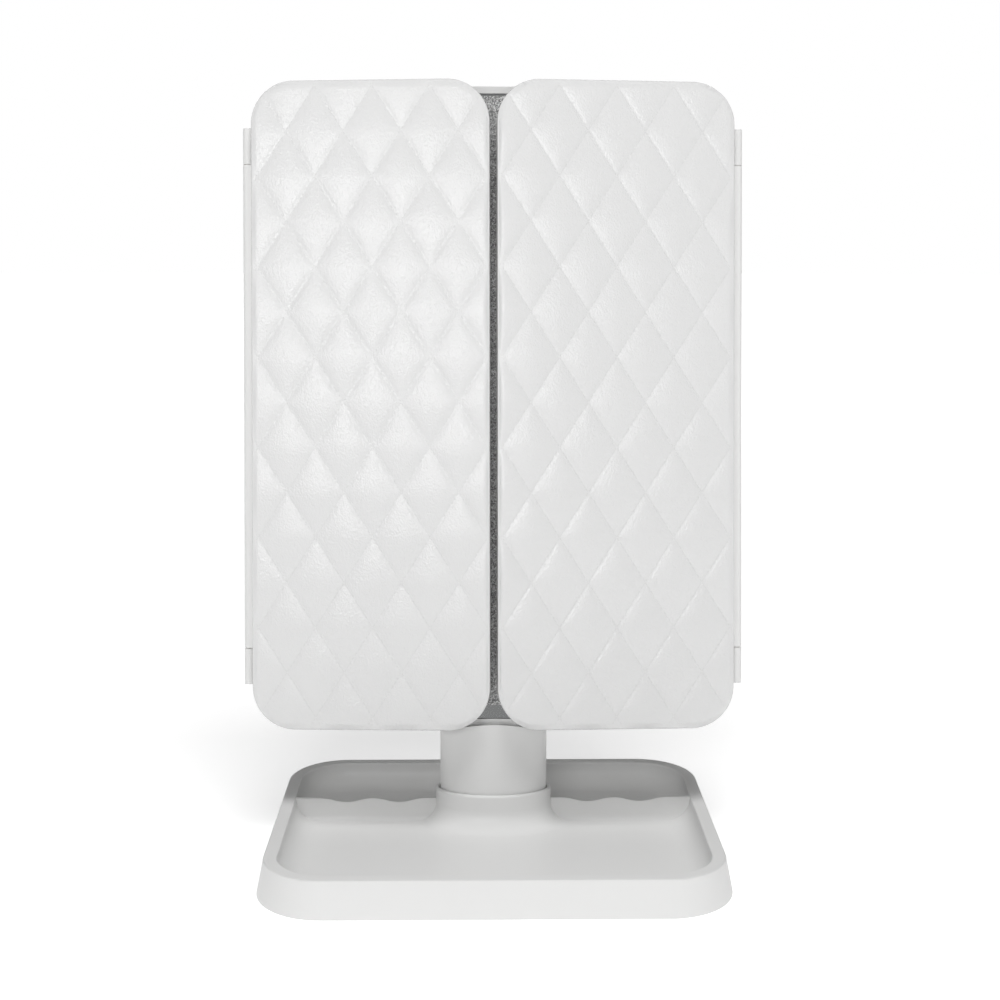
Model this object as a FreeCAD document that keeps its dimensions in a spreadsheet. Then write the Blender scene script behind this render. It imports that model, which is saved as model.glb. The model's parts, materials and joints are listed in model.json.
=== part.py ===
"""Trifold vanity mirror: a tilting mirror panel with two hinged, quilted wings on a post over a tray base.

Units are millimetres. +Z is up and the front faces -Y. The origin is on the ground, under the middle
of the base. The head (centre panel and wings) is modelled upright with the tilt axis at its own
origin, and then placed on the tilt axis with its lean.
"""
import FreeCAD, Part
import math
import os

import Sketcher

doc = FreeCAD.newDocument("trifold_vanity_mirror")

# ---------------------------------------------------------------- driving dimensions

SIZES = [
    ("base_width", 220.0, "tray rim, side to side"),
    ("base_depth", 161.4, "tray rim, front to back"),
    ("base_height", 18.0, "top of the tray rim above the ground"),
    ("base_draft", 3.6, "how far the foot of the outer wall stands outside the rim"),
    ("base_corner_radius", 30.0, "rim corner"),
    ("rim_width", 6.7, "flat rim around the tray"),
    ("rim_edge_radius", 0.8, "rounding of the rim edges"),
    ("base_wall", 2.2, "moulded wall of the base"),
    ("tray_floor", 2.0, "thickness of the tray floor"),
    ("tray_fillet", 11.0, "rounding between tray floor and walls"),
    ("ground_gap", 0.5, "foot of the outer wall above the ground"),
    ("pad_thickness", 1.0, "anti-slip pad"),
    ("pad_inset", 2.0, "edge of the pad inside the base plate"),
    ("plate_thickness", 1.4, "bottom plate"),
    ("plate_clearance", 0.6, "bottom plate inside the outer wall"),
    ("ballast_thickness", 1.0, "steel ballast sheet"),
    ("ballast_width", 176.0, "ballast sheet, side to side"),
    ("ballast_depth", 118.0, "ballast sheet, front to back"),
    ("ballast_corner", 8.0, "corner of the ballast sheet"),
    ("layer_gap", 0.1, "free play over the ballast"),
    ("base_screw_radius", 1.2, "screws of the bottom plate"),
    ("base_screw_head_radius", 2.4, "their heads"),
    ("base_screw_head", 0.8, "height of their heads"),
    ("base_screw_length", 11.0, "shank above the head"),
    ("screw_clearance", 0.2, "screws in their through holes"),
    ("thread_end_gap", 0.5, "screw tip from the end of its bore"),
    ("screw_pillar_radius", 2.7, "pillars that take them"),
    ("post_width", 55.4, "oval post, side to side"),
    ("post_depth", 27.6, "oval post, front to back"),
    ("post_y", 24.0, "middle of the post behind the middle of the base"),
    ("post_wall", 2.4, "wall of the post shell"),
    ("crown_drop", 6.6, "top of the post under the tilt axis"),
    ("post_crown_radius", 62.0, "rounding of the post top, seen from the front"),
    ("post_column_radius", 3.4, "screw columns in the post"),
    ("post_column_x", 22.6, "their distance from the middle"),
    ("post_bore_depth", 15.0, "screw bores in them"),
    ("boss_margin", 2.4, "boss outside the post"),
    ("boss_height", 24.0, "top of the boss above the ground"),
    ("boss_fillet", 9.5, "flare at the foot of the boss"),
    ("boss_wall", 2.6, "wall of the boss"),
    ("boss_plate", 3.0, "plate that the post stands on"),
    ("seat_depth", 4.0, "depth of the post seat in the boss"),
    ("seat_clearance", 0.45, "post in its seat, which leaves a thin shadow line"),
    ("boss_lip_share", 0.6, "outer rounding of the boss, as a share of its lip"),
    ("seat_mouth_share", 0.3, "rounding of the seat mouth, as a share of the lip"),
    ("divider_thickness", 2.0, "wall between tray and rear wells"),
    ("divider_drop", 0.6, "top of the divider under the rim"),
    ("wave_pitch", 27.5, "scallops in the top of the divider"),
    ("wave_depth", 2.1, "depth of a scallop"),
    ("wave_middle_x", 63.2, "crest between the two scallops, from the middle"),
    ("divider_foot", 2.5, "rounding at the foot of the divider"),
    ("post_screw_radius", 2.0, "screws that hold the post"),
    ("post_screw_head_radius", 3.4, "their heads"),
    ("post_screw_head", 2.2, "height of their heads"),
    ("tilt_height", 68.0, "tilt axis above the ground"),
    ("lean_angle", 9.15, "lean of the head at rest, in degrees"),
    ("ajar_angle", 3.5, "opening of the wings at rest, in degrees"),
    ("nose_radius", 13.0, "round nose of the tilt block"),
    ("saddle_clearance", 0.5, "nose in the saddle of the post"),
    ("block_width", 48.0, "tilt block, side to side"),
    ("block_top", 9.0, "top of the tilt block above the tilt axis"),
    ("block_front", 5.2, "front of the tilt block ahead of the tilt axis"),
    ("axle_radius", 2.5, "tilt axle"),
    ("axle_head_radius", 4.6, "head and nut of the axle"),
    ("axle_head", 2.2, "thickness of the axle head"),
    ("axle_nut", 3.4, "thickness of the axle nut"),
    ("axle_clearance", 0.05, "axle in its bores"),
    ("ear_x", 14.0, "middle of a bracket ear from the middle"),
    ("ear_thickness", 2.0, "bracket ear"),
    ("ear_radius", 5.2, "round eye of an ear"),
    ("neck_half_width", 4.6, "ear below its eye, half its width"),
    ("bracket_half_depth", 7.6, "foot plate of the bracket, half its depth"),
    ("bracket_foot", 2.2, "thickness of the foot plate"),
    ("bracket_screw_inset", 6.0, "bracket screws inside the ears"),
    ("tilt_washer_radius", 5.0, "friction washer"),
    ("tilt_washer", 0.5, "its thickness"),
    ("slot_clearance", 0.3, "free room round the ears in their slots"),
    ("largest_lean", 30.0, "furthest lean that the ear slots allow, in degrees"),
    ("head_height", 327.0, "centre panel and wings, top to bottom"),
    ("head_width", 247.0, "centre panel, side to side"),
    ("head_corner_radius", 21.5, "corners of centre panel and wings"),
    ("head_below_axis", 9.5, "bottom edge of the head under the tilt axis"),
    ("head_front", 9.0, "front of the centre panel ahead of the tilt axis"),
    ("head_thickness", 20.0, "centre panel, front to back"),
    ("frame_thickness", 8.0, "front frame of the centre panel"),
    ("bezel_width", 3.5, "rim of the front frame"),
    ("bezel_lip", 1.0, "mirror behind the face of the rim"),
    ("ledge_width", 4.0, "ledge behind the mirror, top and bottom"),
    ("ledge_thickness", 2.0, "ledge that carries the mirror"),
    ("side_band", 18.0, "ledge at the sides, with the light windows"),
    ("window_inset", 9.0, "middle of a light window from the side of the head"),
    ("window_width", 5.0, "light window"),
    ("window_end_gap", 24.0, "window end from the end of the head"),
    ("mirror_thickness", 2.0, "centre mirror glass"),
    ("light_band", 12.6, "centre mirror from the side of the head"),
    ("diffuser_gap", 0.5, "diffuser from the centre mirror"),
    ("tape_thickness", 0.4, "double-sided tape"),
    ("tape_inset", 3.0, "outer edge of the tape inside the glass"),
    ("tape_width", 4.0, "width of the tape"),
    ("part_clearance", 0.3, "glass, boards and covers in their recesses"),
    ("film_thickness", 0.15, "protective film on the centre mirror"),
    ("film_stop", 7.0, "bare glass under the film"),
    ("film_inset", 0.8, "bare glass at the top and sides of the film"),
    ("cover_wall", 2.0, "wall of the back cover"),
    ("cover_edge_radius", 4.0, "rounding of the rear edge"),
    ("cover_screw_inset", 17.5, "cover screws from the side of the head"),
    ("cover_screw_end_gap", 20.0, "cover screws from the ends of the head"),
    ("cover_screw_radius", 1.3, "shank of a cover screw"),
    ("cover_screw_head_radius", 2.6, "head of a cover screw"),
    ("cover_screw_head", 1.6, "height of its head"),
    ("cover_pillar_radius", 3.4, "pillars for the cover screws"),
    ("strip_width", 8.0, "light strip board"),
    ("strip_thickness", 1.0, "light strip board"),
    ("strip_end_gap", 30.0, "strip end from the end of the head"),
    ("led_pitch", 18.0, "distance between light chips"),
    ("led_width", 2.8, "light chip"),
    ("led_height", 3.5, "light chip, along the strip"),
    ("led_thickness", 0.8, "light chip, front to back"),
    ("battery_bottom", 50.0, "battery compartment above the tilt axis"),
    ("battery_row", 11.2, "room for one row of cells"),
    ("battery_half_width", 49.0, "battery compartment, half its width"),
    ("battery_box_wall", 1.6, "walls of the battery compartment"),
    ("cell_radius", 5.15, "battery cell"),
    ("cell_length", 43.7, "battery cell without its cap"),
    ("cell_cap_radius", 1.8, "positive cap of a cell"),
    ("cell_cap", 0.8, "length of the cap"),
    ("contact_thickness", 0.4, "battery contact plates"),
    ("door_thickness", 1.4, "battery door"),
    ("door_overlap", 2.2, "door past the compartment on each side"),
    ("door_clearance", 0.25, "door in its rebate"),
    ("door_pin_radius", 0.6, "pivot pins of the door"),
    ("door_pin_clearance", 0.06, "pivot pins in their holes"),
    ("door_pin_length", 1.4, "pivot pins"),
    ("grip_width", 14.0, "finger grooves of the door"),
    ("grip_depth", 0.5, "finger grooves"),
    ("grip_groove", 1.0, "one finger groove, bottom to top"),
    ("grip_edge", 3.0, "upper finger groove below the edge of the door"),
    ("board_side_gap", 45.5, "middle of the control board from the side of the head"),
    ("board_z", 112.0, "middle of the control board above the tilt axis"),
    ("board_width", 46.0, "control board"),
    ("board_height", 44.0, "control board"),
    ("board_thickness", 1.6, "control board"),
    ("board_rear", 1.6, "rear face of the board behind the tilt axis"),
    ("peg_radius", 2.5, "pegs that carry the board"),
    ("peg_inset", 4.0, "pegs inside the edges of the board"),
    ("chip_side", 8.0, "driver chip"),
    ("chip_thickness", 1.4, "driver chip"),
    ("socket_length", 8.0, "lead sockets, side to side"),
    ("socket_width", 6.0, "lead sockets, bottom to top"),
    ("socket_thickness", 4.4, "lead sockets"),
    ("button_radius", 5.0, "power button"),
    ("button_side_gap", 55.5, "power button from the side of the head"),
    ("button_z", 118.0, "power button above the tilt axis"),
    ("button_proud", 1.2, "button outside the back cover"),
    ("button_travel", 0.8, "stroke of the button"),
    ("button_clearance", 0.2, "button in its hole"),
    ("button_flange", 1.2, "retaining flange of the button, in radius and thickness"),
    ("switch_side", 6.0, "tactile switch under the button"),
    ("switch_height", 3.4, "its case"),
    ("plunger_radius", 1.7, "its plunger"),
    ("plunger_height", 0.8, "its plunger"),
    ("port_side_gap", 35.5, "charging port from the side of the head"),
    ("port_z", 97.0, "charging port above the tilt axis"),
    ("port_width", 7.6, "charging port shell"),
    ("port_height", 2.8, "charging port shell"),
    ("port_depth", 7.2, "charging port shell"),
    ("port_wall", 0.4, "charging port shell"),
    ("hinge_radius", 2.5, "wing hinge barrel"),
    ("hinge_outset", 1.3, "hinge axis outside the centre panel"),
    ("hinge_ahead", 0.1, "hinge axis ahead of the centre panel"),
    ("hinge_end_gap", 22.0, "barrel end from the end of the head"),
    ("end_knuckle", 18.2, "short knuckle at each end of the barrel"),
    ("hinge_cap", 1.2, "closed end of the barrel"),
    ("hinge_pin_radius", 1.25, "hinge pin"),
    ("hinge_pin_clearance", 0.03, "hinge pin in its bores"),
    ("hinge_washer", 0.3, "washer between two knuckles"),
    ("hinge_washer_play", 0.05, "play on each side of a washer"),
    ("hinge_washer_inset", 0.6, "washer inside the barrel, which leaves a thin groove"),
    ("groove_clearance", 0.3, "wing knuckle in the groove of the frame"),
    ("leaf_thickness", 1.9, "leaf that carries the wing knuckle"),
    ("wing_slit", 0.8, "slit between barrel and wing"),
    ("wing_meeting_gap", 2.4, "gap between the two wings"),
    ("wing_face_gap", 0.6, "closed wing ahead of the centre panel"),
    ("wing_shell", 5.0, "thickness of the wing shell"),
    ("wing_rim", 3.7, "rim of the wing shell round its mirror"),
    ("wing_mirror", 1.8, "wing mirror glass"),
    ("pane_bar", 2.0, "bar between the two panes of the left wing"),
    ("pane_bar_z", 150.0, "bar above the tilt axis"),
    ("board_inset", 3.0, "cover board inside the wing outline"),
    ("cover_board", 1.5, "board that the padding is glued to"),
    ("padding", 4.0, "foam under the quilted cover"),
    ("quilt_thickness", 1.0, "quilted cover"),
    ("quilt_edge_radius", 2.4, "soft front edge of the quilted cover"),
]

sheet = doc.addObject("Spreadsheet::Sheet", "Sizes")
for row, (alias, number, meaning) in enumerate(SIZES, start=1):
    sheet.set(f"A{row}", alias)
    sheet.set(f"B{row}", str(number))
    sheet.setAlias(f"B{row}", alias)
    sheet.set(f"C{row}", meaning)
doc.recompute()


class Size:
    """A length or angle: its number now, and the sheet formula that gives it."""

    def __init__(self, value, formula):
        self.value = float(value)
        self.formula = formula

    def _joined(self, other, sign, value):
        return Size(value, f"({self.formula} {sign} {as_size(other).formula})")

    def __add__(self, other):
        return self._joined(other, "+", self.value + as_size(other).value)

    def __radd__(self, other):
        return as_size(other) + self

    def __sub__(self, other):
        return self._joined(other, "-", self.value - as_size(other).value)

    def __rsub__(self, other):
        return as_size(other) - self

    def __mul__(self, other):
        return self._joined(other, "*", self.value * as_size(other).value)

    def __rmul__(self, other):
        return as_size(other) * self

    def __truediv__(self, other):
        return self._joined(other, "/", self.value / as_size(other).value)

    def __neg__(self):
        return Size(-self.value, f"(0 - {self.formula})")


def as_size(number):
    return number if isinstance(number, Size) else Size(number, f"{number:g}")


class Sheet:
    """The sheet's aliases as Size values."""

    def __getattr__(self, alias):
        return Size(sheet.get(alias), f"Sizes.{alias}")


S = Sheet()


def bind(item, prop, size):
    """Sets a property now and ties it to the sheet."""
    item.setExpression(prop, as_size(size).formula)


# ---------------------------------------------------------------- sketches and solid features

def new_body(name):
    body = doc.addObject("PartDesign::Body", name)
    body.Label = name
    return body


def new_sketch(body, name, plane, height):
    """A sketch on an origin plane of its body: XY at z = height, XZ at y = height, YZ at x = height."""
    support = next(item for item in body.Origin.OriginFeatures if item.Role == plane + "_Plane")
    sketch = body.newObject("Sketcher::SketchObject", name)
    sketch.AttachmentSupport = (support, [""])
    sketch.MapMode = "FlatFace"
    bind(sketch, "AttachmentOffset.Base.z", -as_size(height) if plane == "XZ" else height)
    return sketch


def hold(sketch, kind, *rest):
    """Adds a dimension whose last entry is a Size, and ties it to the sheet."""
    *places, size = rest
    index = sketch.addConstraint(Sketcher.Constraint(kind, *places, as_size(size).value))
    bind(sketch, f"Constraints[{index}]", size)


def draw_circle(sketch, x, y, radius):
    centre = FreeCAD.Vector(as_size(x).value, as_size(y).value, 0)
    circle = sketch.addGeometry(Part.Circle(centre, FreeCAD.Vector(0, 0, 1), as_size(radius).value))
    hold(sketch, "Radius", circle, radius)
    hold(sketch, "DistanceX", -1, 1, circle, 3, x)
    hold(sketch, "DistanceY", -1, 1, circle, 3, y)


def draw_ellipse(sketch, y, half_width, half_depth):
    """An ellipse centred on x = 0, wider than deep."""
    centre = FreeCAD.Vector(0, as_size(y).value, 0)
    ellipse = sketch.addGeometry(Part.Ellipse(centre, half_width.value, half_depth.value))
    sketch.exposeInternalGeometry(ellipse)
    sketch.addConstraint(Sketcher.Constraint("PointOnObject", ellipse, 3, -2))
    hold(sketch, "DistanceY", -1, 1, ellipse, 3, y)
    sketch.addConstraint(Sketcher.Constraint("Horizontal", ellipse + 1))
    hold(sketch, "Distance", ellipse + 1, 2 * half_width)
    hold(sketch, "Distance", ellipse + 2, 2 * half_depth)


def draw_rounded(sketch, x_low, x_high, y_low, y_high, radius):
    """A rectangle with four equal rounded corners."""
    left, right = as_size(x_low).value, as_size(x_high).value
    low, high = as_size(y_low).value, as_size(y_high).value
    r = as_size(radius).value
    up = FreeCAD.Vector(0, 0, 1)
    sides = [
        ((left + r, low), (right - r, low)),
        ((right, low + r), (right, high - r)),
        ((right - r, high), (left + r, high)),
        ((left, high - r), (left, low + r)),
    ]
    centres = [(right - r, low + r), (right - r, high - r), (left + r, high - r), (left + r, low + r)]
    lines = []
    arcs = []
    for quarter, ((start, end), centre) in enumerate(zip(sides, centres)):
        line = Part.LineSegment(FreeCAD.Vector(*start, 0), FreeCAD.Vector(*end, 0))
        lines.append(sketch.addGeometry(line))
        turn = (quarter - 1) * math.pi / 2
        circle = Part.Circle(FreeCAD.Vector(*centre, 0), up, r)
        arcs.append(sketch.addGeometry(Part.ArcOfCircle(circle, turn, turn + math.pi / 2)))
    for index in range(4):
        following = lines[(index + 1) % 4]
        sketch.addConstraint(Sketcher.Constraint("Tangent", lines[index], 2, arcs[index], 1))
        sketch.addConstraint(Sketcher.Constraint("Tangent", arcs[index], 2, following, 1))
    sketch.addConstraint(Sketcher.Constraint("Horizontal", lines[0]))
    sketch.addConstraint(Sketcher.Constraint("Horizontal", lines[2]))
    sketch.addConstraint(Sketcher.Constraint("Vertical", lines[1]))
    sketch.addConstraint(Sketcher.Constraint("Vertical", lines[3]))
    for arc in arcs[1:]:
        sketch.addConstraint(Sketcher.Constraint("Equal", arcs[0], arc))
    hold(sketch, "Radius", arcs[0], radius)
    hold(sketch, "DistanceX", -1, 1, lines[3], 1, x_low)
    hold(sketch, "DistanceX", -1, 1, lines[1], 1, x_high)
    hold(sketch, "DistanceY", -1, 1, lines[0], 1, y_low)
    hold(sketch, "DistanceY", -1, 1, lines[2], 1, y_high)


def add_solid(body, name, sketch, length):
    """Pads a sketch upwards (XY), towards +Y (XZ) or towards +X (YZ)."""
    pad = body.newObject("PartDesign::Pad", name)
    pad.Profile = sketch
    bind(pad, "Length", length)
    pad.Reversed = sketch.AttachmentSupport[0][0].Role == "XZ_Plane"
    sketch.Visibility = False
    return pad


def cut_solid(body, name, sketch, length):
    """Cuts a sketch upwards (XY), towards +Y (XZ) or towards +X (YZ), and checks that it cut."""
    before = body.Tip
    pocket = body.newObject("PartDesign::Pocket", name)
    pocket.Profile = sketch
    bind(pocket, "Length", length)
    pocket.Reversed = sketch.AttachmentSupport[0][0].Role != "XZ_Plane"
    doc.recompute()
    if pocket.Shape.Volume > before.Shape.Volume - 1e-6:
        raise RuntimeError(f"{body.Label}.{name} cuts nothing")
    return pocket


def edge_names(shape, wanted):
    return [f"Edge{index}" for index, edge in enumerate(shape.Edges, start=1) if wanted(edge)]


def round_edges(body, name, wanted, radius):
    """Fillets the edges that answer the test."""
    doc.recompute()
    before = body.Tip
    names = edge_names(before.Shape, wanted)
    fillet = body.newObject("PartDesign::Fillet", name)
    fillet.Base = (before, names)
    bind(fillet, "Radius", radius)
    return fillet


def lies_at(axis, place):
    """True for an edge that lies in the plane where the given axis has the given value."""
    def wanted(edge):
        box = edge.BoundBox
        low, high = {"x": (box.XMin, box.XMax), "y": (box.YMin, box.YMax), "z": (box.ZMin, box.ZMax)}[axis]
        return abs(low - place.value) < 1e-4 and abs(high - place.value) < 1e-4
    return wanted


# ---------------------------------------------------------------- simple solids and booleans

def place(item, x, y, z):
    bind(item, "Placement.Base.x", x)
    bind(item, "Placement.Base.y", y)
    bind(item, "Placement.Base.z", z)


def box(name, x, y, z):
    """A block between two values on each axis."""
    item = doc.addObject("Part::Box", name)
    bind(item, "Length", as_size(x[1]) - x[0])
    bind(item, "Width", as_size(y[1]) - y[0])
    bind(item, "Height", as_size(z[1]) - z[0])
    place(item, x[0], y[0], z[0])
    return item


def rod(name, axis, radius, along, across):
    """A cylinder between two values along its axis, at the two other coordinates in x, y, z order."""
    item = doc.addObject("Part::Cylinder", name)
    bind(item, "Radius", radius)
    bind(item, "Height", as_size(along[1]) - along[0])
    first, second = across
    if axis == "x":
        item.Placement.Rotation = FreeCAD.Rotation(FreeCAD.Vector(0, 1, 0), 90)
        place(item, along[0], first, second)
    elif axis == "y":
        item.Placement.Rotation = FreeCAD.Rotation(FreeCAD.Vector(1, 0, 0), -90)
        place(item, first, along[0], second)
    else:
        place(item, first, second, along[0])
    return item


def join(name, items):
    if len(items) == 1:
        return items[0]
    whole = doc.addObject("Part::MultiFuse", name)
    whole.Shapes = items
    return whole


def group(name, items):
    """Separate solids of one kind in one node."""
    whole = doc.addObject("Part::Compound", name)
    whole.Links = items
    return whole


def cut(name, base, tools):
    result = doc.addObject("Part::Cut", name)
    result.Base = base
    result.Tool = join(name + "_tools", tools)
    return result


def shared(name, first, second):
    result = doc.addObject("Part::MultiCommon", name)
    result.Shapes = [first, second]
    return result


# ---------------------------------------------------------------- what is kept

NODES = {}


def keep(name, item, placement=None):
    """Names a finished sub-part, and places it in the assembly."""
    if item.TypeId == "Part::Cylinder":
        item = group(name + "_whole", [item])
    item.Label = name
    if placement is not None:
        item.Placement = placement
    NODES[name] = item


# ---------------------------------------------------------------- heights and outlines that pieces share

half_base_width = S.base_width / 2
half_base_depth = S.base_depth / 2
plate_top = S.pad_thickness + S.plate_thickness
ballast_top = plate_top + S.ballast_thickness
floor_underside = ballast_top + S.layer_gap
floor_top = floor_underside + S.tray_floor
inner_corner_radius = S.base_corner_radius - S.rim_width
seat_floor = S.boss_height - S.seat_depth
boss_ceiling = seat_floor - S.boss_plate
half_post_width = S.post_width / 2
half_post_depth = S.post_depth / 2
post_crown_height = S.tilt_height - S.crown_drop
boss_lip = S.boss_margin - S.seat_clearance
pillar_offset = (S.base_corner_radius - S.rim_width / 2) * math.sqrt(0.5)
pillar_x = half_base_width - S.base_corner_radius + pillar_offset
pillar_y = half_base_depth - S.base_corner_radius + pillar_offset
PILLARS = [(x, y) for x in (-pillar_x, pillar_x) for y in (-pillar_y, pillar_y)]
bracket_screw_x = S.ear_x - S.bracket_screw_inset
saddle_radius = S.nose_radius + S.saddle_clearance


def base_outline(sketch, inset):
    """The rim outline of the base, moved inwards by the inset."""
    draw_rounded(
        sketch,
        inset - half_base_width, half_base_width - inset,
        inset - half_base_depth, half_base_depth - inset,
        S.base_corner_radius - inset,
    )


# ---------------------------------------------------------------- base

def base_loft(body, name, kind, low, low_inset, high, high_inset):
    """A drafted block between two base outlines."""
    bottom = new_sketch(body, name + "_foot", "XY", low)
    base_outline(bottom, low_inset)
    top = new_sketch(body, name + "_head", "XY", high)
    base_outline(top, high_inset)
    loft = body.newObject(kind, name)
    loft.Profile = bottom
    loft.Sections = [top]
    loft.Ruled = True
    doc.recompute()


def draw_divider(sketch, side):
    """The front view of one divider: level at both ends, with two scallops between."""
    top = S.base_height - S.divider_drop
    inner = half_post_width + S.boss_margin - S.boss_wall
    outer = half_base_width - S.rim_width + S.base_wall / 2
    quarter = S.wave_pitch / 4
    rise = S.wave_depth / 2
    arc_radius = (quarter * quarter + rise * rise) / (2 * rise)
    crest = S.wave_middle_x
    # x, height of the joints between level, crest and scallop arcs
    joints = [crest + step * quarter for step in (-4, -3, -1, 1, 3, 4)]
    heights = [top, top - rise, top - rise, top - rise, top - rise, top]
    bulges = [arc_radius - rise, None, arc_radius - rise, None, arc_radius - rise]

    def at(x, y):
        return FreeCAD.Vector(side * as_size(x).value, as_size(y).value, 0)

    corners = [(inner, floor_underside), (inner, top), (joints[0], heights[0])]
    closing = [(joints[-1], heights[-1]), (outer, top), (outer, floor_underside)]
    pieces = []
    for (x1, y1), (x2, y2) in zip(corners, corners[1:]):
        pieces.append(sketch.addGeometry(Part.LineSegment(at(x1, y1), at(x2, y2))))
    for index, bulge in enumerate(bulges):
        x1, x2 = joints[index], joints[index + 1]
        y1, y2 = heights[index], heights[index + 1]
        rising = bulge is not None
        if index == 0:
            centre_x, mid_x = joints[0], joints[0] + quarter / 2
        elif index == len(bulges) - 1:
            centre_x, mid_x = joints[-1], joints[-1] - quarter / 2
        else:
            centre_x, mid_x = (x1 + x2) / 2, (x1 + x2) / 2
        centre_y = top - arc_radius if rising else top - 2 * rise + arc_radius
        reach = (mid_x - centre_x).value
        lift = math.sqrt(arc_radius.value ** 2 - reach ** 2)
        mid_y = centre_y.value + lift if rising else centre_y.value - lift
        middle = FreeCAD.Vector(side * mid_x.value, mid_y, 0)
        arc = sketch.addGeometry(Part.Arc(at(x1, y1), middle, at(x2, y2)))
        hold(sketch, "Radius", arc, arc_radius)
        pieces.append(arc)
    for (x1, y1), (x2, y2) in zip(closing, closing[1:] + corners[:1]):
        pieces.append(sketch.addGeometry(Part.LineSegment(at(x1, y1), at(x2, y2))))
    return pieces


def divider_solid(name, side):
    """One divider: an extruded outline, with a cove along each side of its foot."""
    sketch = doc.addObject("Sketcher::SketchObject", name + "_outline")
    draw_divider(sketch, side)
    sketch.Placement = FreeCAD.Placement(
        FreeCAD.Vector(0, S.post_y.value + S.divider_thickness.value / 2, 0),
        FreeCAD.Rotation(FreeCAD.Vector(1, 0, 0), 90),
    )
    bind(sketch, "Placement.Base.y", S.post_y + S.divider_thickness / 2)
    wall = doc.addObject("Part::Extrusion", name)
    wall.Base = sketch
    wall.DirMode = "Custom"
    wall.Dir = FreeCAD.Vector(0, -1, 0)
    bind(wall, "LengthFwd", S.divider_thickness)
    wall.Solid = True
    near = half_post_width + S.boss_margin - S.boss_wall / 2
    far = half_base_width - S.rim_width
    span = (near, far) if side > 0 else (-far, -near)
    coves = []
    for front in (-1, 1):
        foot = S.post_y + S.divider_thickness / 2 * front
        toe = foot + S.divider_foot * front
        deep = (toe, foot) if front < 0 else (foot, toe)
        block = box(f"{name}_foot_{front}", span, deep, (floor_underside, floor_top + S.divider_foot))
        hollow = rod(f"{name}_cove_{front}", "x", S.divider_foot, span, (toe, floor_top + S.divider_foot))
        coves.append(cut(f"{name}_toe_{front}", block, [hollow]))
    return join(name + "_whole", [wall] + coves)


def base_tray():
    body = new_body("base_tray_moulding")
    base_loft(body, "OuterWall", "PartDesign::AdditiveLoft", S.ground_gap, -S.base_draft, S.base_height, 0)
    hollow_top = S.base_height - S.base_wall
    base_loft(body, "Underside", "PartDesign::SubtractiveLoft",
              S.ground_gap, S.base_wall - S.base_draft, hollow_top, S.base_wall)
    block = new_sketch(body, "TrayBlockOutline", "XY", floor_underside)
    base_outline(block, S.rim_width - S.base_wall)
    add_solid(body, "TrayBlock", block, S.base_height - floor_underside)
    well = new_sketch(body, "TrayWellOutline", "XY", floor_top)
    base_outline(well, S.rim_width)
    cut_solid(body, "TrayWell", well, S.base_height - floor_top)
    round_edges(body, "TrayFloorRounding", lies_at("z", floor_top), S.tray_fillet)
    round_edges(body, "RimRounding", lies_at("z", S.base_height), S.rim_edge_radius)
    boss = new_sketch(body, "BossOutline", "XY", floor_underside)
    draw_ellipse(boss, S.post_y, half_post_width + S.boss_margin, half_post_depth + S.boss_margin)
    add_solid(body, "Boss", boss, S.boss_height - floor_underside)
    boss_reach = half_post_width.value + S.boss_margin.value + 1

    def at_boss_foot(edge):
        box_ = edge.BoundBox
        return lies_at("z", floor_top)(edge) and box_.XMax < boss_reach and box_.XMin > -boss_reach

    round_edges(body, "BossFlare", at_boss_foot, S.boss_fillet)
    round_edges(body, "BossLip", lies_at("z", S.boss_height), boss_lip * S.boss_lip_share)
    hollow = new_sketch(body, "BossHollowOutline", "XY", floor_underside - S.tray_floor / 2)
    draw_ellipse(hollow, S.post_y, half_post_width + S.boss_margin - S.boss_wall,
                 half_post_depth + S.boss_margin - S.boss_wall)
    cut_solid(body, "BossHollow", hollow, boss_ceiling - floor_underside + S.tray_floor / 2)
    seat = new_sketch(body, "PostSeatOutline", "XY", seat_floor)
    draw_ellipse(seat, S.post_y, half_post_width + S.seat_clearance, half_post_depth + S.seat_clearance)
    cut_solid(body, "PostSeat", seat, S.seat_depth)
    mouth_reach = half_post_width.value + S.seat_clearance.value + boss_lip.value * S.seat_mouth_share.value / 2

    def at_seat_mouth(edge):
        return lies_at("z", S.boss_height)(edge) and edge.BoundBox.XMax < mouth_reach

    round_edges(body, "SeatMouth", at_seat_mouth, boss_lip * S.seat_mouth_share)
    holes = new_sketch(body, "PostScrewHoleOutlines", "XY", boss_ceiling)
    for x in post_screw_places():
        draw_circle(holes, x, S.post_y, S.post_screw_radius + S.screw_clearance)
    cut_solid(body, "PostScrewHoles", holes, S.boss_plate)
    pillars = new_sketch(body, "PillarOutlines", "XY", plate_top)
    for x, y in PILLARS:
        draw_circle(pillars, x, y, S.screw_pillar_radius)
    add_solid(body, "Pillars", pillars, hollow_top - plate_top + S.base_wall / 2)
    bores = new_sketch(body, "PillarBoreOutlines", "XY", plate_top)
    for x, y in PILLARS:
        draw_circle(bores, x, y, S.base_screw_radius)
    cut_solid(body, "PillarBores", bores, S.base_screw_length)
    walls = [divider_solid("divider_left", -1), divider_solid("divider_right", 1)]
    keep("base_tray", join("base_tray_with_dividers", [body] + walls))


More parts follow.
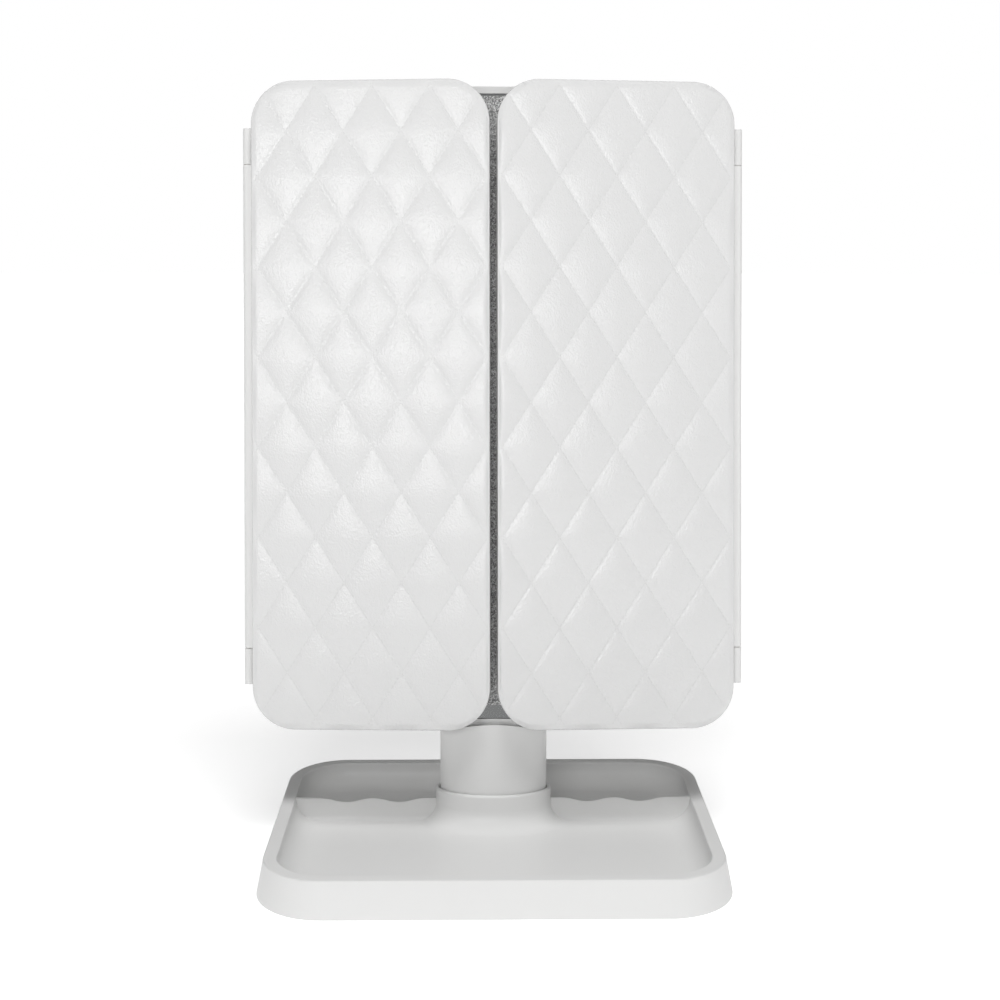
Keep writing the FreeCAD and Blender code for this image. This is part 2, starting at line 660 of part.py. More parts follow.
def base_plate():
    body = new_body("base_plate")
    outline = new_sketch(body, "Outline", "XY", S.pad_thickness)
    base_outline(outline, S.base_wall + S.plate_clearance - S.base_draft)
    add_solid(body, "Plate", outline, S.plate_thickness)
    holes = new_sketch(body, "HoleOutlines", "XY", S.pad_thickness)
    recesses = new_sketch(body, "RecessOutlines", "XY", S.pad_thickness)
    for x, y in PILLARS:
        draw_circle(holes, x, y, S.base_screw_radius + S.screw_clearance)
        draw_circle(recesses, x, y, S.base_screw_head_radius + S.screw_clearance)
    cut_solid(body, "Holes", holes, S.plate_thickness)
    cut_solid(body, "Recesses", recesses, S.base_screw_head)
    keep("base_plate", body)


def flat_base_sheets():
    pad = new_body("anti_slip_pad")
    outline = new_sketch(pad, "Outline", "XY", 0)
    base_outline(outline, S.base_wall + S.plate_clearance - S.base_draft + S.pad_inset)
    add_solid(pad, "Sheet", outline, S.pad_thickness)
    keep("anti_slip_pad", pad)
    ballast = new_body("ballast_plate")
    outline = new_sketch(ballast, "Outline", "XY", plate_top)
    draw_rounded(outline, -S.ballast_width / 2, S.ballast_width / 2,
                 -S.ballast_depth / 2, S.ballast_depth / 2, S.ballast_corner)
    add_solid(ballast, "Sheet", outline, S.ballast_thickness)
    keep("ballast_plate", ballast)


def screw(name, axis, head_radius, shank_radius, head, shank, across):
    """Head and shank between values along the axis."""
    return join(name, [
        rod(name + "_head", axis, head_radius, head, across),
        rod(name + "_shank", axis, shank_radius, shank, across),
    ])


def base_screws():
    head = (S.pad_thickness, S.pad_thickness + S.base_screw_head)
    shank = (head[1], plate_top + S.base_screw_length - S.thread_end_gap)
    keep("base_screws", group("base_screw_set", [
        screw(f"base_screw_{index}", "z", S.base_screw_head_radius, S.base_screw_radius, head, shank, spot)
        for index, spot in enumerate(PILLARS)
    ]))


# ---------------------------------------------------------------- post and tilt bracket

def post_screw_places():
    return [-S.post_column_x, -bracket_screw_x, bracket_screw_x, S.post_column_x]


def ellipse_body(name, inset, low, high):
    body = new_body(name)
    outline = new_sketch(body, "Outline", "XY", low)
    draw_ellipse(outline, S.post_y, half_post_width - inset, half_post_depth - inset)
    add_solid(body, "Column", outline, high - low)
    return body


def post_shell():
    block = ellipse_body("post_block", as_size(0), seat_floor, post_crown_height + 1)
    crown_reach = (S.post_y - S.post_depth, S.post_y + S.post_depth)
    crown = rod("post_crown", "y", S.post_crown_radius, crown_reach,
                (0, post_crown_height - S.post_crown_radius))
    saddle_bottom = S.tilt_height - saddle_radius
    hollow = ellipse_body("post_hollow", S.post_wall, seat_floor - 1, saddle_bottom - S.boss_plate)
    shell = cut("post_walls", shared("post_outside", block, crown), [hollow])
    columns = [
        rod(f"post_column_{side}", "z", S.post_column_radius,
            (seat_floor, saddle_bottom - S.boss_plate + 1), (S.post_column_x * side, S.post_y))
        for side in (-1, 1)
    ]
    saddle = rod("post_saddle", "x", saddle_radius, (-half_post_width - 1, half_post_width + 1),
                 (S.post_y, S.tilt_height))
    half_slot = S.ear_thickness / 2 + S.slot_clearance
    slots = [
        box(f"post_slot_{side}", (S.ear_x * side - half_slot, S.ear_x * side + half_slot),
            (S.post_y - S.neck_half_width - S.slot_clearance, S.post_y + S.neck_half_width + S.slot_clearance),
            (saddle_bottom - S.boss_plate - 1, S.tilt_height))
        for side in (-1, 1)
    ]
    bores = [
        rod(f"post_bore_{side}", "z", S.post_screw_radius, (seat_floor, seat_floor + S.post_bore_depth),
            (S.post_column_x * side, S.post_y))
        for side in (-1, 1)
    ]
    keep("post_shell", cut("post", join("post_with_columns", [shell] + columns), [saddle] + slots + bores))


def tilt_bracket():
    """A steel U: two eared legs on a foot plate."""
    foot_top = seat_floor + S.bracket_foot
    half_foot = S.ear_x + S.ear_thickness / 2
    parts = [box("bracket_foot_plate", (-half_foot, half_foot),
                 (S.post_y - S.bracket_half_depth, S.post_y + S.bracket_half_depth), (seat_floor, foot_top))]
    for side in (-1, 1):
        span = (S.ear_x * side - S.ear_thickness / 2, S.ear_x * side + S.ear_thickness / 2)
        parts.append(box(f"bracket_leg_{side}", span,
                         (S.post_y - S.neck_half_width, S.post_y + S.neck_half_width),
                         (seat_floor, S.tilt_height)))
        parts.append(rod(f"bracket_eye_{side}", "x", S.ear_radius, span, (S.post_y, S.tilt_height)))
    bore = rod("bracket_axle_bore", "x", S.axle_radius + S.axle_clearance,
               (-half_foot - 1, half_foot + 1), (S.post_y, S.tilt_height))
    threads = [
        rod(f"bracket_thread_{side}", "z", S.post_screw_radius, (seat_floor - 1, foot_top + 1),
            (bracket_screw_x * side, S.post_y))
        for side in (-1, 1)
    ]
    keep("tilt_bracket", cut("bracket", join("bracket_blank", parts), [bore] + threads))


def post_screws():
    head = (boss_ceiling - S.post_screw_head, boss_ceiling)
    into_bracket = (boss_ceiling, seat_floor + S.bracket_foot + 2)
    into_column = (boss_ceiling, seat_floor + S.post_bore_depth - 2 * S.thread_end_gap)
    screws = []
    for index, x in enumerate(post_screw_places()):
        shank = into_column if index in (0, 3) else into_bracket
        screws.append(screw(f"post_screw_{index}", "z", S.post_screw_head_radius, S.post_screw_radius,
                            head, shank, (x, S.post_y)))
    keep("post_screws", group("post_screw_set", screws))


# ---------------------------------------------------------------- head: shared places, tilt axis at the origin

tilt_point = FreeCAD.Vector(0, S.post_y.value, S.tilt_height.value)
HEAD = FreeCAD.Placement(tilt_point, FreeCAD.Rotation(FreeCAD.Vector(1, 0, 0), -S.lean_angle.value))

head_low = -S.head_below_axis
head_high = S.head_height - S.head_below_axis
half_head = S.head_width / 2
face = -S.head_front
rear = S.head_thickness - S.head_front
seam = face + S.frame_thickness
glass_front = face + S.bezel_lip
recess_floor = glass_front + S.mirror_thickness + S.tape_thickness
ledge_rear = recess_floor + S.ledge_thickness
cover_inner = rear - S.cover_wall
hinge_x = half_head + S.hinge_outset
hinge_y = face - S.hinge_ahead
barrel_low = head_low + S.hinge_end_gap
barrel_high = head_high - S.hinge_end_gap
window_x = half_head - S.window_inset
mirror_half_width = half_head - S.light_band
diffuser_inner = mirror_half_width + S.diffuser_gap
cover_screw_x = half_head - S.cover_screw_inset
board_x = half_head - S.board_side_gap
button_x = half_head - S.button_side_gap
port_x = half_head - S.port_side_gap
COVER_SCREWS = [
    (cover_screw_x * side, z)
    for side in (-1, 1)
    for z in (head_low + S.cover_screw_end_gap, (head_low + head_high) / 2, head_high - S.cover_screw_end_gap)
]


def panel_outline(sketch, inset):
    draw_rounded(sketch, inset - half_head, half_head - inset, head_low + inset, head_high - inset,
                 S.head_corner_radius - inset)


def panel_plate(name, inset, front, back):
    """A plate with the outline of the centre panel, moved inwards by the inset."""
    body = new_body(name)
    outline = new_sketch(body, "Outline", "XZ", front)
    panel_outline(outline, as_size(inset))
    add_solid(body, "Plate", outline, back - front)
    return body


def ear_slots(name):
    """The room that the bracket ears sweep through the head as it tilts, one tool for each ear."""
    tools = []
    reach = S.nose_radius + 6
    half_neck = S.neck_half_width + S.slot_clearance
    half_slot = S.ear_thickness / 2 + S.tilt_washer + S.slot_clearance / 2
    for side in (-1, 1):
        span = (S.ear_x * side - half_slot, S.ear_x * side + half_slot)
        eye = rod(f"{name}_eye_{side}", "x", S.ear_radius + S.slot_clearance, span, (0, 0))
        upright = box(f"{name}_upright_{side}", span, (-half_neck, half_neck), (-reach, 0))
        leaning = box(f"{name}_leaning_{side}", span, (-half_neck, half_neck), (-reach, 0))
        turn = math.radians(S.largest_lean.value)
        leaning.Placement = FreeCAD.Placement(
            FreeCAD.Vector(span[0].value,
                           -half_neck.value * math.cos(turn) + reach.value * math.sin(turn),
                           -half_neck.value * math.sin(turn) - reach.value * math.cos(turn)),
            FreeCAD.Rotation(FreeCAD.Vector(1, 0, 0), S.largest_lean.value),
        )
        leaning.setExpression("Placement.Base.y", None)
        leaning.setExpression("Placement.Base.z", None)
        tools += [eye, upright, leaning]
    return tools


# ---------------------------------------------------------------- centre panel

def end_knuckles(side):
    """The two short barrels that belong to the frame, with the webs that tie them to its side."""
    parts = []
    for end, (low, high) in enumerate(knuckle_spans()):
        parts.append(rod(f"end_knuckle_{side}_{end}", "z", S.hinge_radius, (low, high),
                         (hinge_x * side, hinge_y)))
        inner, outer = half_head * side - 1.5 * side, hinge_x * side
        span = (inner, outer) if side > 0 else (outer, inner)
        parts.append(box(f"end_web_{side}_{end}", span, (hinge_y, hinge_y + S.hinge_radius), (low, high)))
    return parts


def knuckle_spans():
    return [(barrel_low, barrel_low + S.end_knuckle), (barrel_high - S.end_knuckle, barrel_high)]


def centre_frame():
    body = panel_plate("centre_frame_moulding", 0, face, seam)
    front = new_sketch(body, "MirrorRecessOutline", "XZ", face)
    panel_outline(front, S.bezel_width)
    cut_solid(body, "MirrorRecess", front, recess_floor - face)
    back = new_sketch(body, "RearRecessOutline", "XZ", ledge_rear)
    panel_outline(back, S.bezel_width)
    cut_solid(body, "RearRecess", back, seam - ledge_rear)
    opening = new_sketch(body, "OpeningOutline", "XZ", recess_floor)
    edge = S.bezel_width + S.ledge_width
    side = half_head - S.bezel_width - S.side_band
    draw_rounded(opening, -side, side, head_low + edge, head_high - edge, S.ledge_width)
    cut_solid(body, "Opening", opening, S.ledge_thickness)
    windows = new_sketch(body, "WindowOutlines", "XZ", recess_floor)
    for x in (-window_x, window_x):
        draw_rounded(windows, x - S.window_width / 2, x + S.window_width / 2,
                     head_low + S.window_end_gap, head_high - S.window_end_gap, S.window_width / 2.5)
    cut_solid(body, "Windows", windows, S.ledge_thickness)
    pillars = [
        rod(f"frame_pillar_{index}", "y", S.cover_pillar_radius, (recess_floor, seam), spot)
        for index, spot in enumerate(COVER_SCREWS)
    ]
    barrels = end_knuckles(-1) + end_knuckles(1)
    notch_half = S.block_width / 2 + S.axle_nut + 2
    tools = [box("frame_tilt_notch", (-notch_half, notch_half), (recess_floor - 0.1, seam + 1),
                 (head_low + S.bezel_width, head_low + S.bezel_width + S.ledge_width + 1))]
    tools += ear_slots("frame_slot")
    low, high = knuckle_spans()
    for sign in (-1, 1):
        tools.append(rod(f"frame_groove_{sign}", "z", S.hinge_radius + S.groove_clearance,
                         (low[1], high[0]), (hinge_x * sign, hinge_y)))
        tools.append(rod(f"frame_pin_bore_{sign}", "z", S.hinge_pin_radius + S.hinge_pin_clearance,
                         (barrel_low + S.hinge_cap, barrel_high - S.hinge_cap), (hinge_x * sign, hinge_y)))
    for index, spot in enumerate(COVER_SCREWS):
        tools.append(rod(f"frame_screw_bore_{index}", "y", S.cover_screw_radius,
                         (recess_floor + 0.8, seam + 1), spot))
    blank = join("centre_frame_blank", [body] + pillars + barrels)
    keep("centre_frame", cut("centre_frame_cut", blank, tools), HEAD)


def middle_strip(name, low_x, high_x, low_z=head_low - 1):
    """A block that trims a plate to an upright band of the centre panel."""
    return box(name, (low_x, high_x), (face - 2, rear), (low_z, head_high + 1))


def centre_glass():
    inset = S.bezel_width + S.part_clearance
    glass = panel_plate("centre_glass_plate", inset, glass_front, glass_front + S.mirror_thickness)
    trim = middle_strip("centre_glass_trim", -mirror_half_width, mirror_half_width)
    keep("centre_mirror", shared("centre_glass_cut", glass, trim), HEAD)
    film = panel_plate("film_plate", inset + S.film_inset, glass_front - S.film_thickness, glass_front)
    half_film = mirror_half_width - S.film_inset
    film_trim = middle_strip("film_trim", -half_film, half_film,
                             low_z=head_low + S.bezel_width + S.film_stop)
    keep("protective_film", shared("film_cut", film, film_trim), HEAD)
    tape_out = mirror_half_width - S.tape_inset
    tape_low = head_low + inset + S.tape_inset
    tape_high = head_high - inset - S.tape_inset
    tape_y = (glass_front + S.mirror_thickness, recess_floor)
    ring = box("centre_tape_sheet", (-tape_out, tape_out), tape_y, (tape_low, tape_high))
    hole = box("centre_tape_hole", (S.tape_width - tape_out, tape_out - S.tape_width),
               (tape_y[0] - 1, tape_y[1] + 1), (tape_low + S.tape_width, tape_high - S.tape_width))
    keep("centre_mirror_tape", cut("centre_tape", ring, [hole]), HEAD)
    for name, side in (("left", -1), ("right", 1)):
        plate = panel_plate(f"diffuser_plate_{name}", inset, glass_front, recess_floor)
        ends = (diffuser_inner * side, (half_head + 1) * side)
        trim = middle_strip(f"diffuser_trim_{name}", *(ends if side > 0 else ends[::-1]))
        keep(f"light_diffuser_{name}", shared(f"diffuser_{name}", plate, trim), HEAD)


def light_strips():
    low, high = head_low + S.strip_end_gap, head_high - S.strip_end_gap
    count = int(((high - low).value - 2 * S.led_height.value) // S.led_pitch.value) + 1
    middle = (low + high) / 2
    for name, side in (("left", -1), ("right", 1)):
        x = window_x * side
        board_y = (ledge_rear, ledge_rear + S.strip_thickness)
        parts = [box(f"strip_board_{name}", (x - S.strip_width / 2, x + S.strip_width / 2), board_y, (low, high))]
        for index in range(count):
            z = middle + S.led_pitch * (index - (count - 1) / 2)
            parts.append(box(f"led_{name}_{index}", (x - S.led_width / 2, x + S.led_width / 2),
                             (ledge_rear - S.led_thickness, ledge_rear),
                             (z - S.led_height / 2, z + S.led_height / 2)))
        keep(f"led_strip_{name}", join(f"led_strip_{name}_whole", parts), HEAD)


battery_low = S.battery_bottom
battery_high = S.battery_bottom + 2 * S.battery_row
battery_front = cover_inner - S.door_thickness - 2 * S.cell_radius + 0.6
door_low = battery_low - S.door_overlap
door_high = battery_high + S.door_overlap
door_half = S.battery_half_width + S.door_overlap
door_inner = rear - S.door_thickness
door_axis_y = rear - S.door_thickness / 2
door_axis_z = door_low + S.door_thickness / 2


def board_pegs():
    """Peg places at three corners of the control board, clear of switch and port."""
    dx, dz = S.board_width / 2 - S.peg_inset, S.board_height / 2 - S.peg_inset
    return [(board_x - dx, S.board_z - dz), (board_x - dx, S.board_z + dz), (board_x + dx, S.board_z + dz)]


def centre_back_cover():
    body = panel_plate("back_cover_moulding", 0, seam, rear)
    round_edges(body, "RearEdge", lies_at("y", rear), S.cover_edge_radius)
    inside = new_sketch(body, "InsideOutline", "XZ", seam)
    panel_outline(inside, S.cover_wall + 0.2)
    cut_solid(body, "Inside", inside, cover_inner - seam)
    wall = S.battery_box_wall
    added = [box("battery_box", (-S.battery_half_width - wall - 1, S.battery_half_width + wall + 1),
                 (battery_front - wall, cover_inner + 0.5), (door_low - wall, door_high + wall))]
    for index, spot in enumerate(COVER_SCREWS):
        added.append(rod(f"cover_pillar_{index}", "y", S.cover_pillar_radius, (seam, cover_inner + 0.5), spot))
    for index, spot in enumerate(board_pegs()):
        added.append(rod(f"board_peg_{index}", "y", S.peg_radius, (S.board_rear, cover_inner + 0.5), spot))
    rebate_low = door_low - S.door_clearance
    rebate_high = door_high + S.door_clearance
    rebate_half = door_half + S.door_clearance
    tools = [
        box("battery_room", (-S.battery_half_width, S.battery_half_width),
            (battery_front, rear + 1), (battery_low, battery_high)),
        box("door_rebate", (-rebate_half, rebate_half), (door_inner - 0.1, rear + 1), (rebate_low, rebate_high)),
        rod("door_pin_holes", "x", S.door_pin_radius + S.door_pin_clearance,
            (-door_half - S.door_pin_length - 0.3, door_half + S.door_pin_length + 0.3),
            (door_axis_y, door_axis_z)),
        rod("button_hole", "y", S.button_radius + S.button_clearance, (cover_inner - 1, rear + 1),
            (button_x, S.button_z)),
        box("port_hole", (port_x - S.port_width / 2 - 0.3, port_x + S.port_width / 2 + 0.3),
            (cover_inner - 0.2, rear + 1),
            (S.port_z - S.port_height / 2 - 0.3, S.port_z + S.port_height / 2 + 0.3)),
        box("tilt_block_notch", (-S.block_width / 2 - 0.1, S.block_width / 2 + 0.1),
            (seam - 0.1, rear - S.cover_edge_radius), (head_low - 1, head_low + S.cover_wall + 0.3)),
    ]
    tools += ear_slots("cover_slot")
    for index, spot in enumerate(COVER_SCREWS):
        tools.append(rod(f"cover_screw_bore_{index}", "y", S.cover_screw_radius + 0.1,
                         (seam - 1, rear + 1), spot))
        tools.append(rod(f"cover_screw_recess_{index}", "y", S.cover_screw_head_radius + 0.2,
                         (rear - S.cover_screw_head - 0.6, rear + 1), spot))
    cover = cut("back_cover_cut", join("back_cover_blank", [body] + added), tools)
    keep("centre_back_cover", cover, HEAD)


def cover_screws():
    head = (rear - S.cover_screw_head - 0.6, rear - 0.6)
    shank = (recess_floor + 1.2, head[0])
    screws = []
    for index, spot in enumerate(COVER_SCREWS):
        screws.append(join(f"cover_screw_{index}", [
            rod(f"cover_screw_head_{index}", "y", S.cover_screw_head_radius, head, spot),
            rod(f"cover_screw_shank_{index}", "y", S.cover_screw_radius, shank, spot),
        ]))
    keep("cover_screws", group("cover_screw_set", screws), HEAD)


def tilt_block():
    """The block that carries the tilt axle in the head, with its round nose in the saddle of the post."""
    half = S.block_width / 2
    block_foot = head_low + S.bezel_width + 0.1
    upper = box("tilt_block_upper", (-half, half), (-S.block_front, cover_inner - 0.1), (block_foot, S.block_top))
    lower = box("tilt_block_lower", (-half, half), (seam, rear - S.cover_edge_radius), (head_low, block_foot))
    nose = shared(
        "tilt_nose",
        rod("tilt_nose_round", "x", S.nose_radius, (-half, half), (0, 0)),
        box("tilt_nose_trim", (-half, half), (-S.nose_radius, S.nose_radius),
            (-S.nose_radius - 1, head_low)),
    )
    bore = rod("tilt_block_bore", "x", S.axle_radius + S.axle_clearance / 2, (-half - 1, half + 1), (0, 0))
    blank = join("tilt_block_blank", [upper, lower, nose])
    keep("tilt_block", cut("tilt_block_cut", blank, [bore] + ear_slots("block_slot")), HEAD)


def tilt_axle():
    half = S.block_width / 2
    gap = 0.05
    axle = join("tilt_axle_whole", [
        rod("tilt_axle_shank", "x", S.axle_radius, (-half - S.axle_nut - 0.8, half + gap), (0, 0)),
        rod("tilt_axle_head", "x", S.axle_head_radius, (half + gap, half + gap + S.axle_head), (0, 0)),
    ])
    keep("tilt_axle", axle, HEAD)
    nut = doc.addObject("Part::Prism", "tilt_nut_hexagon")
    nut.Polygon = 6
    bind(nut, "Circumradius", S.axle_head_radius)
    bind(nut, "Height", S.axle_nut)
    nut.Placement.Rotation = FreeCAD.Rotation(FreeCAD.Vector(0, 1, 0), 90)
    place(nut, -half - S.axle_nut - gap, 0, 0)
    thread = rod("tilt_nut_thread", "x", S.axle_radius, (-half - S.axle_nut - 1, -half), (0, 0))
    keep("tilt_nut", cut("tilt_nut_cut", nut, [thread]), HEAD)
    washers = []
    for side in (-1, 1):
        for face_side in (-1, 1):
            middle = S.ear_x * side + (S.ear_thickness / 2 + S.tilt_washer / 2 + S.axle_clearance) * face_side
            disc = rod(f"tilt_washer_disc_{side}_{face_side}", "x", S.tilt_washer_radius,
                       (middle - S.tilt_washer / 2, middle + S.tilt_washer / 2), (0, 0))
            hole = rod(f"tilt_washer_hole_{side}_{face_side}", "x", S.axle_radius + S.axle_clearance,
                       (middle - S.tilt_washer, middle + S.tilt_washer), (0, 0))
            washers.append(cut(f"tilt_washer_{side}_{face_side}", disc, [hole]))
    keep("tilt_washers", group("tilt_washer_set", washers), HEAD)


# ---------------------------------------------------------------- power

def batteries():
    cells = []
    cell_y = battery_front + 0.1 + S.cell_radius
    for row in (0, 1):
        z = battery_low + S.battery_row * (row + 0.5)
        for side in (-1, 1):
            start = side * (S.contact_thickness + 0.6) if side > 0 else -S.cell_length - S.contact_thickness - 0.6
            low = as_size(start)
            cap_low = low + S.cell_length
            cells.append(join(f"cell_{row}_{side}", [
                rod(f"cell_body_{row}_{side}", "x", S.cell_radius, (low, cap_low), (cell_y, z)),
                rod(f"cell_cap_{row}_{side}", "x", S.cell_cap_radius, (cap_low, cap_low + S.cell_cap), (cell_y, z)),
            ]))
    keep("battery_cells", group("cell_set", cells), HEAD)
    contacts = []
    half_plate = S.cell_radius - 1
    for row in (0, 1):
        z = battery_low + S.battery_row * (row + 0.5)
        for side in (-1, 1):
            outer = (S.battery_half_width - S.contact_thickness) * side
            span = (outer, outer + S.contact_thickness) if side > 0 else (outer - S.contact_thickness, outer)
            contacts.append(box(f"contact_{row}_{side}", span, (cell_y - half_plate, cell_y + half_plate),
                                (z - half_plate, z + half_plate)))
    keep("battery_contacts", group("contact_set", contacts), HEAD)


def battery_door():
    plate = box("door_plate", (-door_half, door_half), (door_inner, rear), (door_axis_z, door_high))
    edge = rod("door_edge", "x", S.door_thickness / 2, (-door_half, door_half), (door_axis_y, door_axis_z))
    pins = rod("door_pins", "x", S.door_pin_radius, (-door_half - S.door_pin_length, door_half + S.door_pin_length),
               (door_axis_y, door_axis_z))
    grips = [
        box(f"door_grip_{index}", (-S.grip_width / 2, S.grip_width / 2), (rear - S.grip_depth, rear + 1),
            (door_high - S.grip_edge - S.grip_groove * (2 * index + 1),
             door_high - S.grip_edge - S.grip_groove * 2 * index))
        for index in range(3)
    ]
    keep("battery_door", cut("door", join("door_blank", [plate, edge, pins]), grips), HEAD)


def control_board():
    board = box("board_plate", (board_x - S.board_width / 2, board_x + S.board_width / 2),
                (S.board_rear - S.board_thickness, S.board_rear),
                (S.board_z - S.board_height / 2, S.board_z + S.board_height / 2))
    half = S.switch_side / 2
    case = box("switch_case", (button_x - half, button_x + half),
               (S.board_rear, S.board_rear + S.switch_height), (S.button_z - half, S.button_z + half))
    # side, thickness along y, and lower left corner of each chip
    chips = [
        ("driver_chip", S.chip_side, S.chip_side, S.chip_thickness,
         board_x + S.chip_side / 4, S.board_z - S.chip_side / 4),
        ("board_socket_left", S.socket_length, S.socket_width, S.socket_thickness,
         board_x - S.socket_length * 1.5, S.board_z - S.board_height / 2 + S.peg_inset),
        ("board_socket_right", S.socket_length, S.socket_width, S.socket_thickness,
         board_x + S.socket_length, S.board_z + S.board_height / 2 - 2 * S.socket_width),
    ]
    parts = [board, case]
    for name, width, height, thickness, x, z in chips:
        parts.append(box(name, (x, x + width), (S.board_rear, S.board_rear + thickness), (z, z + height)))
    case_top = S.board_rear + S.switch_height
    well = rod("plunger_well", "y", S.plunger_radius + 0.05, (case_top - S.button_travel - 0.7, case_top + 1),
               (button_x, S.button_z))
    keep("control_board", cut("board_cut", join("board_whole", parts), [well]), HEAD)
    plunger = rod("plunger_rod", "y", S.plunger_radius, (case_top - 0.4, case_top + S.plunger_height),
                  (button_x, S.button_z))
    keep("switch_plunger", plunger, HEAD)
    outer = box("port_shell", (port_x - S.port_width / 2, port_x + S.port_width / 2),
                (S.board_rear, S.board_rear + S.port_depth + 0.8),
                (S.port_z - S.port_height / 2, S.port_z + S.port_height / 2))
    wall = S.port_wall
    inner = box("port_mouth", (port_x - S.port_width / 2 + wall, port_x + S.port_width / 2 - wall),
                (S.board_rear + 1.5, S.board_rear + S.port_depth + 2),
                (S.port_z - S.port_height / 2 + wall, S.port_z + S.port_height / 2 - wall))
    keep("charging_port", cut("port", outer, [inner]), HEAD)


def power_button():
    plunger_top = S.board_rear + S.switch_height + S.plunger_height
    flange_y = (cover_inner - S.button_flange - 0.1, cover_inner - 0.1)
    spot = (button_x, S.button_z)
    parts = [
        rod("button_cap", "y", S.button_radius, (flange_y[0], rear + S.button_proud), spot),
        rod("button_collar", "y", S.button_radius + S.button_flange, flange_y, spot),
        rod("button_stem", "y", S.plunger_radius, (plunger_top, flange_y[0]), spot),
    ]
    keep("power_button", join("button_whole", parts), HEAD)


# ---------------------------------------------------------------- wings

wing_outer = hinge_x - S.hinge_radius - S.wing_slit
wing_inner = S.wing_meeting_gap / 2
wing_rear = face - S.wing_face_gap
shell_front = wing_rear - S.wing_shell
wing_glass_front = wing_rear - S.wing_mirror
tape_front = wing_glass_front - S.tape_thickness


def wing_placement(side):
    """Leans with the head, and stands ajar about its own hinge."""
    hinge = FreeCAD.Vector(side * hinge_x.value, hinge_y.value, 0)
    swing = FreeCAD.Placement(FreeCAD.Vector(), FreeCAD.Rotation(FreeCAD.Vector(0, 0, 1), side * S.ajar_angle.value))
    there = FreeCAD.Placement(hinge, FreeCAD.Rotation())
    return HEAD.multiply(there).multiply(swing).multiply(there.inverse())


def wing_outline(sketch, side, inset):
    near, far = wing_inner + inset, wing_outer - inset
    low_x, high_x = (near, far) if side > 0 else (-far, -near)
    draw_rounded(sketch, low_x, high_x, head_low + inset, head_high - inset, S.head_corner_radius - inset)


def wing_plate(name, side, inset, front, back):
    body = new_body(name)
    outline = new_sketch(body, "Outline", "XZ", front)
    wing_outline(outline, side, as_size(inset))
    add_solid(body, "Plate", outline, back - front)
    return body


def hinge_washers(word, side):
    low, high = knuckle_spans()
    washers = []
    for end, start in enumerate((low[1] + S.hinge_washer_play, high[0] - S.hinge_washer_play - S.hinge_washer)):
        span = (start, start + S.hinge_washer)
        disc = rod(f"hinge_washer_disc_{word}_{end}", "z", S.hinge_radius - S.hinge_washer_inset,
                   span, (hinge_x * side, hinge_y))
        hole = rod(f"hinge_washer_hole_{word}_{end}", "z", S.hinge_pin_radius + S.hinge_pin_clearance,
                   (start - 1, start + S.hinge_washer + 1), (hinge_x * side, hinge_y))
        washers.append(cut(f"hinge_washer_{word}_{end}", disc, [hole]))
    return washers


def wing(word, side):
    placement = wing_placement(side)
    shell = wing_plate(f"wing_shell_{word}_moulding", side, 0, shell_front, wing_rear)
    mirror_recess = new_sketch(shell, "MirrorRecessOutline", "XZ", tape_front)
    wing_outline(mirror_recess, side, S.wing_rim)
    cut_solid(shell, "MirrorRecess", mirror_recess, wing_rear - tape_front)
    board_recess = new_sketch(shell, "BoardRecessOutline", "XZ", shell_front)
    wing_outline(board_recess, side, S.board_inset - S.part_clearance)
    cut_solid(shell, "BoardRecess", board_recess, S.cover_board)
    low, high = knuckle_spans()
    gap = S.hinge_washer + 2 * S.hinge_washer_play
    span = (low[1] + gap, high[0] - gap)
    barrel = rod(f"wing_barrel_{word}", "z", S.hinge_radius, span, (hinge_x * side, hinge_y))
    reach = (wing_outer - 0.5, hinge_x) if side > 0 else (-hinge_x, 0.5 - wing_outer)
    leaf = box(f"wing_leaf_{word}", reach, (hinge_y - S.hinge_radius, hinge_y - S.hinge_radius + S.leaf_thickness),
               span)
    parts = [shell, barrel, leaf]
    if side < 0:
        parts.append(box("pane_bar_left", (-wing_outer + 1, -wing_inner - 1), (tape_front, wing_rear),
                         (S.pane_bar_z - S.pane_bar / 2, S.pane_bar_z + S.pane_bar / 2)))
    bore = rod(f"wing_bore_{word}", "z", S.hinge_pin_radius + S.hinge_pin_clearance,
               (low[1], high[0]), (hinge_x * side, hinge_y))
    keep(f"wing_shell_{word}", cut(f"wing_shell_{word}_cut", join(f"wing_shell_{word}_blank", parts), [bore]),
         placement)
    wing_mirrors(word, side, placement)
    board = wing_plate(f"cover_board_{word}", side, S.board_inset, shell_front, shell_front + S.cover_board)
    keep(f"cover_board_{word}", board, placement)
    quilt_front = shell_front - S.padding - S.quilt_thickness
    foam = wing_plate(f"foam_pad_{word}", side, S.quilt_thickness, quilt_front + S.quilt_thickness, shell_front)
    keep(f"foam_pad_{word}", foam, placement)
    quilt = wing_plate(f"quilted_cover_{word}", side, 0, quilt_front, shell_front)
    round_edges(quilt, "SoftEdge", lies_at("y", quilt_front), S.quilt_edge_radius)
    room = new_sketch(quilt, "FoamRoomOutline", "XZ", quilt_front + S.quilt_thickness)
    wing_outline(room, side, S.quilt_thickness)
    cut_solid(quilt, "FoamRoom", room, S.padding)
    keep(f"quilted_cover_{word}", quilt, placement)
    pin_span = (barrel_low + S.hinge_cap + 0.1, barrel_high - S.hinge_cap - 0.1)
    pin = rod(f"hinge_pin_rod_{word}", "z", S.hinge_pin_radius, pin_span, (hinge_x * side, hinge_y))
    keep(f"hinge_pin_{word}", pin, HEAD)
    keep(f"hinge_washers_{word}", group(f"hinge_washer_set_{word}", hinge_washers(word, side)), HEAD)


